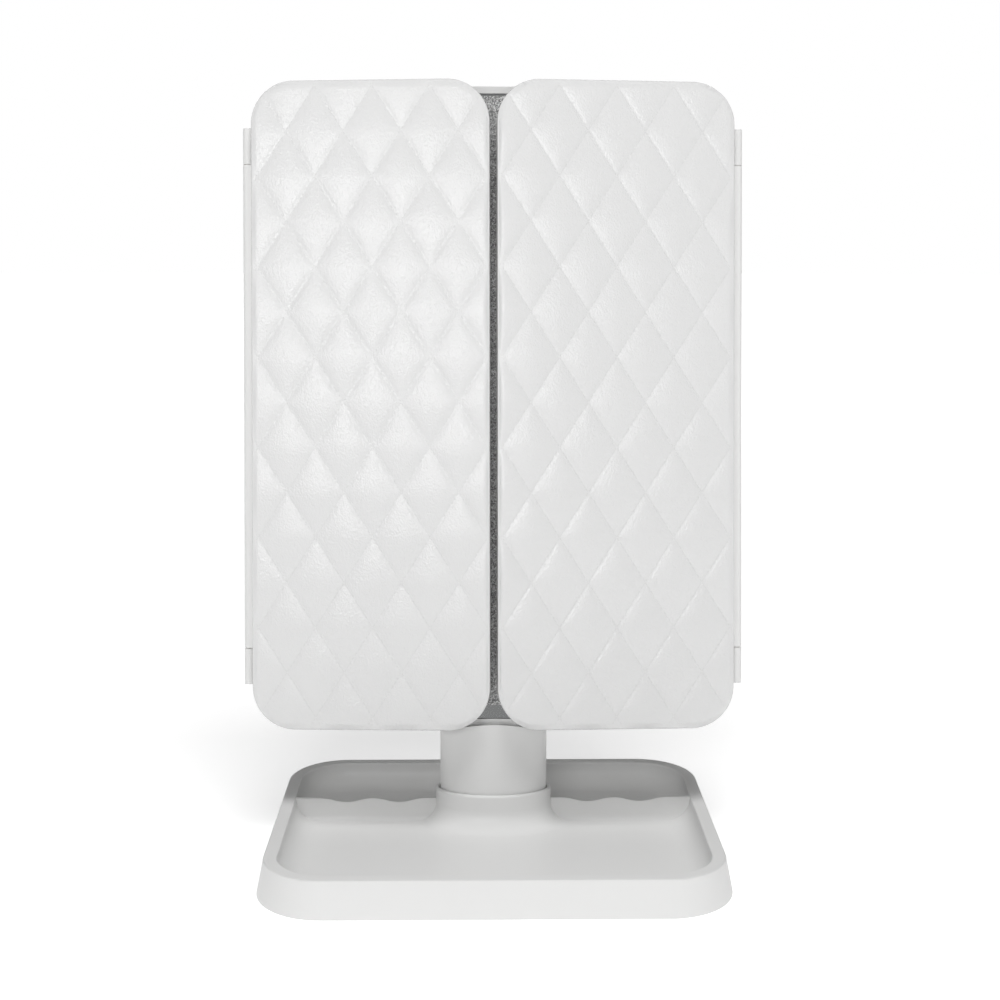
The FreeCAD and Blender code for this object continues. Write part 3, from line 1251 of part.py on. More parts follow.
def wing_mirrors(word, side, placement):
    """The glass in the wing, on its tape: one plain pane, or two magnifying panes."""
    inset = S.wing_rim + S.part_clearance
    bands = [("wing_mirror_right", head_low, head_high)]
    if side < 0:
        gap = S.pane_bar / 2 + S.part_clearance
        bands = [
            ("magnifying_pane_lower", head_low, S.pane_bar_z - gap),
            ("magnifying_pane_upper", S.pane_bar_z + gap, head_high),
        ]
    tapes = []
    for name, low, high in bands:
        glass = wing_plate(f"{name}_plate", side, inset, wing_glass_front, wing_rear)
        trim = box(f"{name}_trim", (-half_head, half_head), (wing_glass_front - 1, wing_rear + 1), (low, high))
        keep(name, shared(f"{name}_cut", glass, trim), placement)
        margin = inset + S.tape_inset + 2
        near, far = wing_inner + margin, wing_outer - margin
        span = (near, far) if side > 0 else (-far, -near)
        low_z = low + S.tape_inset + (margin - S.tape_inset if low is head_low else 0)
        high_z = high - S.tape_inset - (margin - S.tape_inset if high is head_high else 0)
        sheet_ = box(f"{name}_tape_sheet", span, (tape_front, wing_glass_front), (low_z, high_z))
        hole = box(f"{name}_tape_hole", (span[0] + S.tape_width, span[1] - S.tape_width),
                   (tape_front - 1, wing_glass_front + 1), (low_z + S.tape_width, high_z - S.tape_width))
        tapes.append(cut(f"{name}_tape", sheet_, [hole]))
    keep(f"wing_mirror_tape_{word}", group(f"wing_tape_set_{word}", tapes), placement)


# ---------------------------------------------------------------- build, check and write

base_tray()
base_plate()
flat_base_sheets()
base_screws()
post_shell()
tilt_bracket()
post_screws()
centre_frame()
centre_glass()
light_strips()
centre_back_cover()
cover_screws()
tilt_block()
tilt_axle()
batteries()
battery_door()
control_board()
power_button()
wing("left", -1)
wing("right", 1)

doc.recompute()
for item in doc.Objects:
    if "Invalid" in item.State or "Error" in item.State:
        raise RuntimeError(f"{item.Name} did not compute: {item.State}")

os.makedirs("parts", exist_ok=True)
for name, item in NODES.items():
    shape = item.Shape
    if shape.isNull() or not shape.isValid() or not shape.Solids:
        raise RuntimeError(f"{name} has no sound solid")
    shape.exportStep(os.path.join("parts", name + ".step"))
    limits = shape.BoundBox
    print(f"{name:24s} solids {len(shape.Solids)}  volume {shape.Volume:11.1f}  "
          f"x {limits.XMin:7.1f} {limits.XMax:7.1f}  y {limits.YMin:7.1f} {limits.YMax:7.1f}  "
          f"z {limits.ZMin:7.1f} {limits.ZMax:7.1f}")
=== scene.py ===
import json
import math

import bmesh
import bpy
from mathutils import Matrix, Vector, noise


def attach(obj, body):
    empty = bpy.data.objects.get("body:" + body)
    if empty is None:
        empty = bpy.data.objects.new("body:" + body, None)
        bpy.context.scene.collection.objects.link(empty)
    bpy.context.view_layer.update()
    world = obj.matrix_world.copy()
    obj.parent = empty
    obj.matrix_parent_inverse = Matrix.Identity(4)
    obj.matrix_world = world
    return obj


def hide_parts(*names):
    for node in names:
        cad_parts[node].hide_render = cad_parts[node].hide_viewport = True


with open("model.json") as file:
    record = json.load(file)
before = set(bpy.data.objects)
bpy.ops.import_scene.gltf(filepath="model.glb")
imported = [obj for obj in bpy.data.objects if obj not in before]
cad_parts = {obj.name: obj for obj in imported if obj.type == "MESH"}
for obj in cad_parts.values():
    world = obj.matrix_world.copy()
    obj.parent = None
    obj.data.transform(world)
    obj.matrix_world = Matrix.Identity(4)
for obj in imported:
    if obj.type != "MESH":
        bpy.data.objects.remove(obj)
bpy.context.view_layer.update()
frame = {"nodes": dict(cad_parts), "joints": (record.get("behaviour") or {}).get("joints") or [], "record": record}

MM = 0.001
nodes = frame["nodes"]
joints = {joint["name"]: joint for joint in frame["joints"]}


# ---------------------------------------------------------------- places that the frame gives

tilt_axis_place = Vector(joints["head_tilt"]["pos_m"])
hinge_direction = joints["right_wing_hinge"]["axis"]
lean = math.atan2(hinge_direction[1], hinge_direction[2])
ajar = -math.radians(joints["right_wing_hinge"]["range_deg"][0])
head_place = Matrix.Translation(tilt_axis_place) @ Matrix.Rotation(-lean, 4, "X")


def wing_place(word, side):
    """Carries a point of the upright, closed wing to where the wing stands at rest."""
    hinge = head_place.inverted() @ Vector(joints[f"{word}_wing_hinge"]["pos_m"])
    there = Matrix.Translation((hinge.x, hinge.y, 0))
    return head_place @ there @ Matrix.Rotation(side * ajar, 4, "Z") @ there.inverted()


def into_scene(name, data):
    """A new object in the scene."""
    thing = bpy.data.objects.new(name, data)
    bpy.context.scene.collection.objects.link(thing)
    return thing


# ---------------------------------------------------------------- camera and light

CAMERA_PLACE = Vector((-8.0, -725.0, 308.0)) * MM
CAMERA_DOWN = math.radians(10.0)
CAMERA_RIGHT = math.radians(0.86)
CAMERA_ROLL = math.radians(0.09)
SENSOR_WIDTH = 36.0
LENS = 54.0
CLIP_NEAR = 0.01
CLIP_FAR = 60.0
LIGHT_AIM = Vector((0.0, 0.0, 0.2))
AIR_IN_FRONT = 0.22
AIR_BEHIND = 0.14
KEY_POWER = 4.8
TOP_POWER = 103.0


def set_camera():
    """In front of the object and a little above it, looking slightly down."""
    data = bpy.data.cameras.new("studio_camera")
    data.sensor_width = SENSOR_WIDTH
    data.lens = LENS
    data.clip_start = CLIP_NEAR
    data.clip_end = CLIP_FAR
    camera = into_scene("studio_camera", data)
    sideways = Matrix.Rotation(-CAMERA_RIGHT, 4, "Z")
    downwards = Matrix.Rotation(math.pi / 2 - CAMERA_DOWN, 4, "X")
    turn = sideways @ downwards
    roll = Matrix.Rotation(CAMERA_ROLL, 4, "Z")
    camera.matrix_world = Matrix.Translation(CAMERA_PLACE) @ turn @ roll
    bpy.context.scene.camera = camera


def soft_box(name, turn, height, distance, size, power, shiny=True):
    """A soft box aimed at the head, from a turn to the right of the front and a height, in degrees.

    One that is not shiny lights what it falls on but makes no highlights.
    """
    turn, height = math.radians(turn), math.radians(height)
    away = Vector((math.sin(turn) * math.cos(height),
                   -math.cos(turn) * math.cos(height),
                   math.sin(height)))
    data = bpy.data.lights.new(name, "AREA")
    data.shape = "RECTANGLE"
    data.size, data.size_y = size
    data.energy = power
    light = into_scene(name, data)
    light.location = LIGHT_AIM + away * distance
    light.rotation_euler = away.to_track_quat("Z", "Y").to_euler()
    light.visible_glossy = shiny


def set_light():
    """White paper all round and two soft boxes.

    The paper lights the object more from the front than from behind, and looks pure white itself.
    """
    world = bpy.data.worlds.new("studio_air")
    bpy.context.scene.world = world
    world.use_nodes = True
    tree = world.node_tree
    background = tree.nodes["Background"]
    background.inputs["Color"].default_value = (1.0, 1.0, 1.0, 1.0)
    direction = tree.nodes.new("ShaderNodeTexCoord")
    split = tree.nodes.new("ShaderNodeSeparateXYZ")
    tree.links.new(direction.outputs["Generated"], split.inputs[0])
    air = tree.nodes.new("ShaderNodeMapRange")
    tree.links.new(split.outputs["Y"], air.inputs["Value"])
    air.inputs["From Min"].default_value = -1.0
    air.inputs["To Min"].default_value = AIR_IN_FRONT
    air.inputs["To Max"].default_value = AIR_BEHIND
    seen = tree.nodes.new("ShaderNodeLightPath")
    strength = tree.nodes.new("ShaderNodeMapRange")
    tree.links.new(seen.outputs["Is Camera Ray"], strength.inputs["Value"])
    tree.links.new(air.outputs["Result"], strength.inputs["To Min"])
    tree.links.new(strength.outputs["Result"], background.inputs["Strength"])
    bpy.context.scene.view_settings.view_transform = "Standard"
    soft_box("key_light", turn=-12, height=18, distance=1.7, size=(0.8, 0.2), power=KEY_POWER)
    soft_box("top_light", turn=12, height=69, distance=4.2, size=(2.0, 1.2), power=TOP_POWER,
             shiny=False)


# ---------------------------------------------------------------- finishes

PLASTIC_TINT = (1.0, 1.0, 0.992)
NYLON_TINT = (1.0, 0.98, 0.9)
NICKEL_TINT = (1.0, 0.97, 0.92)
LEATHER_TINT = (1.0, 1.0, 0.998)
# Tint of the painted shade along the stitches and in the puckers.
SEAM_SHADE_TINT = (1.0, 0.995, 0.98)
GLASS_TINT = (0.98, 1.0, 1.0)
FOAM_TINT = (1.0, 0.99, 0.94)

# The sockets for colours of a Mix node, which has more of the same names for numbers.
MIX_FIRST, MIX_SECOND, MIX_RESULT = 6, 7, 2

# Stitches, in shares of the seam between two crossings.
STITCH_WIDTH = 0.014
STITCHES_PER_SEAM = 11.0
STITCH_SHARE = 0.62
PUCKER_TIGHTNESS = 26.0

# How much painted shade, a darker colour, shows in each, and how much rougher the leather is in a pucker.
WRINKLE_SHADOW = 0.12
STITCH_SHADOW = 0.12
PUCKER_SHADOW = 0.14
PUCKER_DULLNESS = 0.1

# Flakes of the glitter film over this random value get a painted glint.
PAINTED_GLINT_LIMIT = 0.93
CELL_PITCH = 45.7 * MM
CELL_SLEEVE_SHARE = 0.76
FLOOR_GLOW_START = 0.15
FLOOR_GLOW_END = 2.6
NEAR_FLOOR_GLOW = 0.56
FAR_FLOOR_GLOW = 0.96


class Flow:
    """A value in a finish. Arithmetic on it adds Math nodes."""

    def __init__(self, finish, socket):
        self.finish = finish
        self.socket = socket

    def math(self, operation, *values):
        """Adds a Math node on those values. Any of them may be a plain number."""
        inputs = dict(enumerate(values))
        return self.finish.node("ShaderNodeMath", {"operation": operation}, inputs)

    def __add__(self, other):
        return self.math("ADD", self, other)

    def __sub__(self, other):
        return self.math("SUBTRACT", self, other)

    def __rsub__(self, other):
        return self.math("SUBTRACT", other, self)

    def __mul__(self, other):
        return self.math("MULTIPLY", self, other)

    def __pow__(self, other):
        return self.math("POWER", self, other)

    def __gt__(self, other):
        return self.math("GREATER_THAN", self, other)

    def __lt__(self, other):
        return self.math("LESS_THAN", self, other)


class Finish:
    """A named material and the nodes that draw it."""

    def __init__(self, name):
        self.material = bpy.data.materials.new(name)
        self.material.use_nodes = True
        self.tree = self.material.node_tree
        self.tree.nodes.clear()
        self.place = self.node("ShaderNodeTexCoord", output="Object")

    def node(self, kind, settings=None, inputs=None, output=0):
        """Adds a node, with its settings and what feeds its sockets. Returns one of its outputs."""
        node = self.tree.nodes.new(kind)
        for name, value in (settings or {}).items():
            setattr(node, name, value)
        for name, value in (inputs or {}).items():
            self.feed(node.inputs[name], value)
        return Flow(self, node.outputs[output])

    def feed(self, socket, value):
        """Links the socket to a value in the finish, or sets it to a constant."""
        if isinstance(value, Flow):
            self.tree.links.new(value.socket, socket)
        else:
            socket.default_value = value

    def along(self, axis, vector=None):
        """One of the three values of a vector."""
        return self.node("ShaderNodeSeparateXYZ", None, {"Vector": vector or self.place}, axis)

    def stretched(self, *scale):
        """Places on the object, drawn out along each axis whose scale is under 1."""
        return self.node("ShaderNodeMapping", None, {"Vector": self.place, "Scale": scale})

    def speckle(self, per_metre, detail, where=None):
        """Soft random blotches from 0 to 1."""
        inputs = {"Vector": where or self.place, "Scale": per_metre, "Detail": detail}
        return self.node("ShaderNodeTexNoise", None, inputs, "Fac")

    def cells(self, per_metre, output="Distance", feature="F1", where=None):
        """Random cells."""
        inputs = {"Vector": where or self.place, "Scale": per_metre}
        return self.node("ShaderNodeTexVoronoi", {"feature": feature}, inputs, output)

    def spread(self, value, low, high):
        """Takes 0 to 1 onto low to high."""
        return value * (high - low) + low

    def mix(self, factor, first, second):
        """The first colour where the factor is 0, the second where it is 1."""
        node = self.tree.nodes.new("ShaderNodeMix")
        node.data_type = "RGBA"
        self.feed(node.inputs[0], factor)
        self.feed(node.inputs[MIX_FIRST], first)
        self.feed(node.inputs[MIX_SECOND], second)
        return Flow(self, node.outputs[MIX_RESULT])

    def bump(self, height, depth, below=None):
        """Relief of that depth in metres, over the relief below it."""
        inputs = {"Height": height, "Distance": depth, "Strength": 1.0}
        if below is not None:
            inputs["Normal"] = below
        return self.node("ShaderNodeBump", None, inputs)

    def surface(self, **sockets):
        """The shader itself, from its sockets' names with spaces as underscores."""
        shader = self.tree.nodes.new("ShaderNodeBsdfPrincipled")
        for name, value in sockets.items():
            self.feed(shader.inputs[name.replace("_", " ")], value)
        out = self.tree.nodes.new("ShaderNodeOutputMaterial")
        self.tree.links.new(shader.outputs[0], out.inputs["Surface"])
        return self.material


def shade(value, tint=(1.0, 1.0, 1.0)):
    """A colour of that brightness."""
    return tuple(value * share for share in tint) + (1.0,)


def moulded_plastic(name, brightness, roughness, tint=PLASTIC_TINT):
    """Satin moulded plastic with a fine spark-eroded skin."""
    finish = Finish(name)
    clouds = finish.speckle(per_metre=14, detail=3)
    skin = finish.speckle(per_metre=1900, detail=2)
    wear = finish.speckle(per_metre=120, detail=4)
    colour = finish.mix(clouds, shade(brightness * 0.985, tint), shade(brightness, tint))
    relief = finish.bump(skin, 0.022 * MM, below=finish.bump(wear, 0.02 * MM))
    return finish.surface(
        Base_Color=colour,
        Roughness=finish.spread(wear, low=roughness - 0.05, high=roughness + 0.07),
        Normal=relief,
        IOR=1.46,
    )


def quilted_leather():
    """Soft white leather with fine wrinkled grain.

    The quilt attribute, across and up the pattern, places small stitches along the seams and a
    pucker where two seams cross, both darkened with painted shade. Both fade out towards the edge
    of the cover. The wrinkles of the grain are darkened with painted shade too.
    """
    finish = Finish("quilted_leather")
    quilt = finish.node("ShaderNodeAttribute", {"attribute_name": "quilt"}, None, "Vector")
    across, up, fade = [finish.along(axis, quilt) for axis in "XYZ"]
    rising = across + up
    falling = across - up
    nearness = [way.math("PINGPONG", way, 1.0) for way in (rising, falling)]
    rows = []
    for near, way in zip(nearness, (falling, rising)):
        on_seam = near > 1 - STITCH_WIDTH
        in_stitch = way.math("PINGPONG", way * STITCHES_PER_SEAM, 1.0) < STITCH_SHARE
        rows.append(on_seam * in_stitch)
    stitches = rows[0].math("MAXIMUM", *rows) * fade
    pucker = (nearness[0] * nearness[1]) ** PUCKER_TIGHTNESS * fade
    drawn_out = finish.stretched(1.0, 1.0, 0.7)
    wrinkles = finish.cells(per_metre=1500, feature="SMOOTH_F1", where=drawn_out)
    pores = finish.cells(per_metre=2300, where=drawn_out)
    creases = finish.speckle(per_metre=800, detail=4, where=drawn_out)
    clouds = finish.speckle(per_metre=18, detail=3)
    # Painted shade: a darker colour laid along the stitches and into the puckers where seams cross.
    seam_shade_colour = shade(0.5, SEAM_SHADE_TINT)
    hide = finish.mix(clouds, shade(0.735, LEATHER_TINT), shade(0.76, LEATHER_TINT))
    # Painted shade in the wrinkles of the grain.
    wrinkle_shaded = finish.mix(wrinkles * WRINKLE_SHADOW, hide, shade(0.70))
    # Painted shade along the stitches in the seams.
    stitch_shaded = finish.mix(stitches * STITCH_SHADOW, wrinkle_shaded, seam_shade_colour)
    # Painted shade in the pucker where two seams cross.
    colour = finish.mix(pucker * PUCKER_SHADOW, stitch_shaded, seam_shade_colour)
    grain = finish.bump(pores, 0.02 * MM)
    grain = finish.bump(wrinkles, 0.11 * MM, below=grain)
    grain = finish.bump(creases, 0.14 * MM, below=grain)
    relief = finish.bump(1 - stitches, 0.04 * MM, below=grain)
    return finish.surface(
        Base_Color=colour,
        Roughness=finish.spread(pores, low=0.19, high=0.27) + pucker * PUCKER_DULLNESS,
        Normal=relief,
        IOR=1.6,
    )


def glitter_film():
    """Grey protective film, full of fine flakes, a random few of which get a painted glint."""
    finish = Finish("glitter_film")
    flakes = finish.cells(per_metre=1700, output="Color")
    tone = finish.along("X", flakes)
    # Painted glint: the flakes picked here are coloured near white and made partly metallic.
    painted_glint = finish.along("Y", flakes) > PAINTED_GLINT_LIMIT
    haze = finish.speckle(per_metre=90, detail=3)
    body = finish.mix(tone ** 1.3, shade(0.17), shade(0.85))
    return finish.surface(
        # The painted glints, near white, over the film's own random grey tones.
        Base_Color=finish.mix(painted_glint * 0.8, body, shade(0.95)),
        Metallic=painted_glint * 0.4,
        Roughness=finish.spread(haze, low=0.22, high=0.42) + tone * 0.2,
        Normal=finish.bump(tone, 0.05 * MM),
    )


def mirror_glass():
    """Silvered glass with the faintest wipe marks."""
    finish = Finish("mirror_glass")
    wipes = finish.speckle(per_metre=35, detail=5)
    return finish.surface(
        Base_Color=finish.mix(wipes, shade(0.86, GLASS_TINT), shade(0.9, GLASS_TINT)),
        Metallic=1.0,
        Roughness=finish.spread(wipes, low=0.015, high=0.045),
    )


def metal(name, brightness, roughness, tint=(1.0, 1.0, 1.0)):
    """Turned or rolled metal, with fine lines along its length."""
    finish = Finish(name)
    grain = finish.speckle(per_metre=900, detail=4, where=finish.stretched(0.06, 1.0, 1.0))
    stains = finish.speckle(per_metre=60, detail=4)
    return finish.surface(
        Base_Color=finish.mix(stains, shade(brightness * 0.9, tint), shade(brightness, tint)),
        Metallic=1.0,
        Roughness=finish.spread(grain, low=roughness - 0.06, high=roughness + 0.1),
        Normal=finish.bump(grain, 0.02 * MM),
    )


def pad_rubber():
    """Black anti-slip sheet with fine pimples."""
    finish = Finish("pad_rubber")
    pimples = finish.cells(per_metre=700)
    dust = finish.speckle(per_metre=70, detail=5)
    return finish.surface(
        Base_Color=finish.mix(dust, shade(0.018), shade(0.045)),
        Roughness=finish.spread(dust, low=0.72, high=0.9),
        Normal=finish.bump(pimples, 0.2 * MM),
    )


def frosted_diffuser():
    """Milky light diffuser."""
    finish = Finish("frosted_diffuser")
    frost = finish.speckle(per_metre=2200, detail=2)
    clouds = finish.speckle(per_metre=25, detail=2)
    return finish.surface(
        Base_Color=finish.mix(clouds, shade(0.84), shade(0.88)),
        Roughness=finish.spread(frost, low=0.5, high=0.7),
        Normal=finish.bump(frost, 0.03 * MM),
        Subsurface_Weight=0.15,
    )


def circuit_board():
    """White solder mask with faint copper tracks under it."""
    finish = Finish("circuit_board")
    track_inputs = {"Vector": finish.place, "Scale": 90.0, "Mortar Size": 0.03}
    tracks = finish.node("ShaderNodeTexBrick", {"offset": 0.5}, track_inputs, "Fac")
    specks = finish.speckle(per_metre=500, detail=2)
    mask, copper = shade(0.7, (0.93, 1.0, 0.95)), shade(0.5, (0.85, 1.0, 0.85))
    return finish.surface(
        Base_Color=finish.mix(tracks, mask, copper),
        Roughness=finish.spread(specks, low=0.25, high=0.4),
        Normal=finish.bump(tracks, 0.04 * MM),
    )


def cell_wrapper():
    """Battery cells in a dark sleeve with a copper band at one end."""
    finish = Finish("cell_wrapper")
    across = finish.along("X")
    wrapped = across.math("WRAP", across, CELL_PITCH, 0.0)
    band = wrapped > CELL_PITCH * CELL_SLEEVE_SHARE
    scuffs = finish.speckle(per_metre=200, detail=4)
    sleeve, copper = shade(0.03, (0.9, 0.95, 1.1)), shade(0.5, (1.0, 0.62, 0.38))
    return finish.surface(
        Base_Color=finish.mix(band, sleeve, copper),
        Metallic=band * 0.7,
        Roughness=finish.spread(scuffs, low=0.22, high=0.38),
        Normal=finish.bump(scuffs, 0.02 * MM),
    )


def foam(name, brightness, holes):
    """Open foam or foam tape, with that many holes to a metre."""
    finish = Finish(name)
    pores = finish.cells(per_metre=holes)
    clouds = finish.speckle(per_metre=40, detail=3)
    shaded, lit = shade(brightness * 0.92, FOAM_TINT), shade(brightness, FOAM_TINT)
    return finish.surface(
        Base_Color=finish.mix(clouds, shaded, lit),
        Roughness=finish.spread(pores, low=0.8, high=0.95),
        Normal=finish.bump(pores, 0.3 * MM),
    )


def fibre_board():
    """Pressed fibre board."""
    finish = Finish("fibre_board")
    fibres = finish.speckle(per_metre=800, detail=6)
    clouds = finish.speckle(per_metre=60, detail=3)
    dark, light = shade(0.2, (1.0, 0.74, 0.5)), shade(0.36, (1.0, 0.78, 0.55))
    return finish.surface(
        Base_Color=finish.mix(fibres, dark, light),
        Roughness=finish.spread(clouds, low=0.75, high=0.92),
        Normal=finish.bump(fibres, 0.1 * MM),
    )


def studio_floor():
    """White paper, lit through from below, more so far from the object."""
    finish = Finish("studio_floor")
    clouds = finish.speckle(per_metre=3, detail=2)
    reach = finish.node("ShaderNodeVectorMath", {"operation": "LENGTH"}, {0: finish.place}, "Value")
    far = finish.node("ShaderNodeMapRange", {"interpolation_type": "SMOOTHSTEP"},
                      {"Value": reach, "From Min": FLOOR_GLOW_START, "From Max": FLOOR_GLOW_END})
    return finish.surface(
        Base_Color=finish.mix(clouds, shade(0.76), shade(0.78)),
        Roughness=finish.spread(clouds, low=0.55, high=0.65),
        Emission_Color=finish.mix(far, shade(NEAR_FLOOR_GLOW), shade(FAR_FLOOR_GLOW)),
        Emission_Strength=1.0,
    )


FINISHES = {
    "white_plastic": moulded_plastic("white_plastic_skin", brightness=0.80, roughness=0.36),
    "button_plastic": moulded_plastic("button_plastic_skin", brightness=0.72, roughness=0.25),
    "black_plastic": moulded_plastic("black_plastic_skin", brightness=0.03, roughness=0.4),
    "nylon": moulded_plastic("nylon_skin", brightness=0.72, roughness=0.45, tint=NYLON_TINT),
    "frosted_plastic": frosted_diffuser(),
    "white_leather": quilted_leather(),
    "glitter_film": glitter_film(),
    "mirror_glass": mirror_glass(),
    "steel": metal("zinc_steel", brightness=0.62, roughness=0.3),
    "nickel": metal("nickel_plate", brightness=0.75, roughness=0.2, tint=NICKEL_TINT),
    "black_rubber": pad_rubber(),
    "circuit_board": circuit_board(),
    "cell_can": cell_wrapper(),
    "foam_tape": foam("foam_tape_skin", brightness=0.8, holes=2600),
    "foam": foam("cushion_foam", brightness=0.82, holes=1500),
    "fibre_board": fibre_board(),
}


def finish_nodes():
    """Gives each piece of the frame the finish of its slot."""
    for part in frame["record"]["subparts"]:
        for place in nodes[part["node"]].material_slots:
            place.material = FINISHES[part["material_slot"]]


# ---------------------------------------------------------------- quilted covers

# The right wing, closed and upright, from the head's middle line and the tilt axis.
WING_INNER = 1.2 * MM
WING_OUTER = 121.5 * MM
WING_LOW = -9.5 * MM
WING_HIGH = 317.5 * MM
WING_CORNER = 21.5 * MM
COVER_FRONT = -19.6 * MM
COVER_BACK = -14.6 * MM
LEATHER = 0.7 * MM
FOAM_ROOM = 0.12 * MM

# The pattern: half a diamond's width and height, and where a diamond's middle lies on each wing.
DIAMOND_HALF_WIDTH = 14.5 * MM
DIAMOND_HALF_HEIGHT = 22.7 * MM
PATTERN_MIDDLE = {"left": (60.3 * MM, 155.8 * MM), "right": (61.4 * MM, 155.8 * MM)}
STEPS_PER_HALF = 12

# The pillows. The cloth starts as low domes, each a little different, and is blown up.
PILLOW_HEIGHT = 1.1 * MM
PILLOW_FULLNESS = 0.7
START_DOME = 0.3
DOME_CHANGE = 0.3
DOME_CHANGES_PER_METRE = 140
CLOTH_SCALE = 10.0
CLOTH_STEPS = 24
TOP_SHARE = 0.995
HIGHEST = 1.05

# The edge: leather rolled round a quarter circle, and pillows that fade out towards it.
EDGE_ROLL = 0.95 * MM
ROLL_STEPS = 6
CORNER_STEPS = 14
BORDER_FADE = 1.8 * MM

CUT_TOLERANCE = 1e-7
RIM_TOLERANCE = 1e-6
SEAM_TOLERANCE = 1e-4


def corner_directions(steps):
    """Unit directions round a full turn, with the four square ones included."""
    return [Vector((math.cos(turn), math.sin(turn)))
            for turn in (index * math.pi / 2 / steps for index in range(4 * steps))]


def outline_depth(x, z):
    """How far inside the wing outline a point of the right wing lies."""
    beyond_x = max(WING_INNER + WING_CORNER - x, x - (WING_OUTER - WING_CORNER), 0.0)
    beyond_z = max(WING_LOW + WING_CORNER - z, z - (WING_HIGH - WING_CORNER), 0.0)
    if beyond_x > 0 and beyond_z > 0:
        return WING_CORNER - math.hypot(beyond_x, beyond_z)
    return min(x - WING_INNER, WING_OUTER - x, z - WING_LOW, WING_HIGH - z)


def outward(x, z):
    """Direction out of the wing outline at a point near it, for the right wing."""
    near_x = min(max(x, WING_INNER + WING_CORNER), WING_OUTER - WING_CORNER)
    near_z = min(max(z, WING_LOW + WING_CORNER), WING_HIGH - WING_CORNER)
    return Vector((x - near_x, z - near_z)).normalized()


def seam_nearness(x, z):
    """For a place from a diamond's middle: 1 on a seam of each of the two ways, 0 half way."""
    across = x / DIAMOND_HALF_WIDTH
    up = z / DIAMOND_HALF_HEIGHT
    return abs((across + up + 1) % 2 - 1), abs((across - up + 1) % 2 - 1)


class QuiltGrid:
    """Flat triangles whose edges follow the seams, centred on the middle of a diamond."""

    def __init__(self):
        half_width = (WING_OUTER - WING_INNER) / 2
        half_height = (WING_HIGH - WING_LOW) / 2
        self.columns = math.ceil(half_width / DIAMOND_HALF_WIDTH) * STEPS_PER_HALF
        self.rows = math.ceil(half_height / DIAMOND_HALF_HEIGHT) * STEPS_PER_HALF
        step_x = DIAMOND_HALF_WIDTH / STEPS_PER_HALF
        step_z = DIAMOND_HALF_HEIGHT / STEPS_PER_HALF
        self.places = [(column * step_x, row * step_z)
                       for row in range(-self.rows, self.rows + 1)
                       for column in range(-self.columns, self.columns + 1)]
        self.seams = [seam_nearness(x, z) for x, z in self.places]
        self.faces = self.triangles()

    def triangles(self):
        """Two to each cell, split along the way that the seam runs there."""
        width = 2 * self.columns + 1
        faces = []
        for row in range(2 * self.rows):
            for column in range(2 * self.columns):
                near = row * width + column
                right, up, far = near + 1, near + width, near + width + 1
                block = ((column - self.columns) // STEPS_PER_HALF
                         + (row - self.rows) // STEPS_PER_HALF)
                if block % 2 == 0:
                    faces += [(near, right, up), (right, far, up)]
                else:
                    faces += [(near, right, far), (near, far, up)]
        return faces

    def stitched(self):
        """Points that stay down: all seams, and the rim of the grid."""
        far_x = self.columns * DIAMOND_HALF_WIDTH / STEPS_PER_HALF - RIM_TOLERANCE
        far_z = self.rows * DIAMOND_HALF_HEIGHT / STEPS_PER_HALF - RIM_TOLERANCE
        return [index for index, ((x, z), seams) in enumerate(zip(self.places, self.seams))
                if max(seams) > 1 - SEAM_TOLERANCE or abs(x) > far_x or abs(z) > far_z]

    def domes(self, seed):
        """Starting heights, as a share of the pillow height."""
        change = DOME_CHANGES_PER_METRE
        return [START_DOME * (1 - first ** 2) * (1 - second ** 2)
                * (1 + DOME_CHANGE * noise.noise(Vector((x * change, seed, z * change))))
                for (x, z), (first, second) in zip(self.places, self.seams)]


def set_fabric(modifier):
    """Light cloth held by its seams, with air pressed in from behind and no weight."""
    fabric = modifier.settings
    fabric.quality = 6
    fabric.mass = 0.3
    fabric.tension_stiffness = 15
    fabric.compression_stiffness = 15
    fabric.shear_stiffness = 7.5
    fabric.bending_stiffness = 0.5
    fabric.air_damping = 1
    fabric.use_pressure = True
    fabric.uniform_pressure_force = 4
    fabric.vertex_group_mass = "seams"
    fabric.effector_weights.gravity = 0
    modifier.collision_settings.use_collision = False
    modifier.point_cache.frame_end = CLOTH_STEPS


def inflate(grid, seed):
    """Blows up cloth that is held at the seams. Returns the height of each point."""
    heights = grid.domes(seed)
    data = bpy.data.meshes.new("quilting_cloth")
    points = [(x * CLOTH_SCALE, -height * PILLOW_HEIGHT * CLOTH_SCALE, z * CLOTH_SCALE)
              for (x, z), height in zip(grid.places, heights)]
    data.from_pydata(points, [], grid.faces)
    cloth = into_scene("quilting_cloth", data)
    cloth.vertex_groups.new(name="seams").add(grid.stitched(), 1.0, "REPLACE")
    set_fabric(cloth.modifiers.new("cloth", "CLOTH"))
    for step in range(1, CLOTH_STEPS + 1):
        bpy.context.scene.frame_set(step)
    result = cloth.evaluated_get(bpy.context.evaluated_depsgraph_get()).to_mesh()
    heights = [max(-vertex.co.y, 0.0) for vertex in result.vertices]
    bpy.context.scene.frame_set(1)
    bpy.data.objects.remove(cloth)
    top = sorted(heights)[int(len(heights) * TOP_SHARE)]
    return [min(height / top, HIGHEST) ** PILLOW_FULLNESS for height in heights]


def cut_to_outline(mesh, side):
    """Cuts the sheet along the start of the rolled edge."""
    corner = WING_CORNER - EDGE_ROLL
    for way in corner_directions(CORNER_STEPS):
        centre_x = WING_OUTER - WING_CORNER if way.x > 0 else WING_INNER + WING_CORNER
        centre_z = WING_HIGH - WING_CORNER if way.y > 0 else WING_LOW + WING_CORNER
        bmesh.ops.bisect_plane(
            mesh, geom=mesh.verts[:] + mesh.edges[:] + mesh.faces[:], dist=CUT_TOLERANCE,
            plane_co=(side * (centre_x + way.x * corner), 0, centre_z + way.y * corner),
            plane_no=(side * way.x, 0, way.y), clear_outer=True,
        )


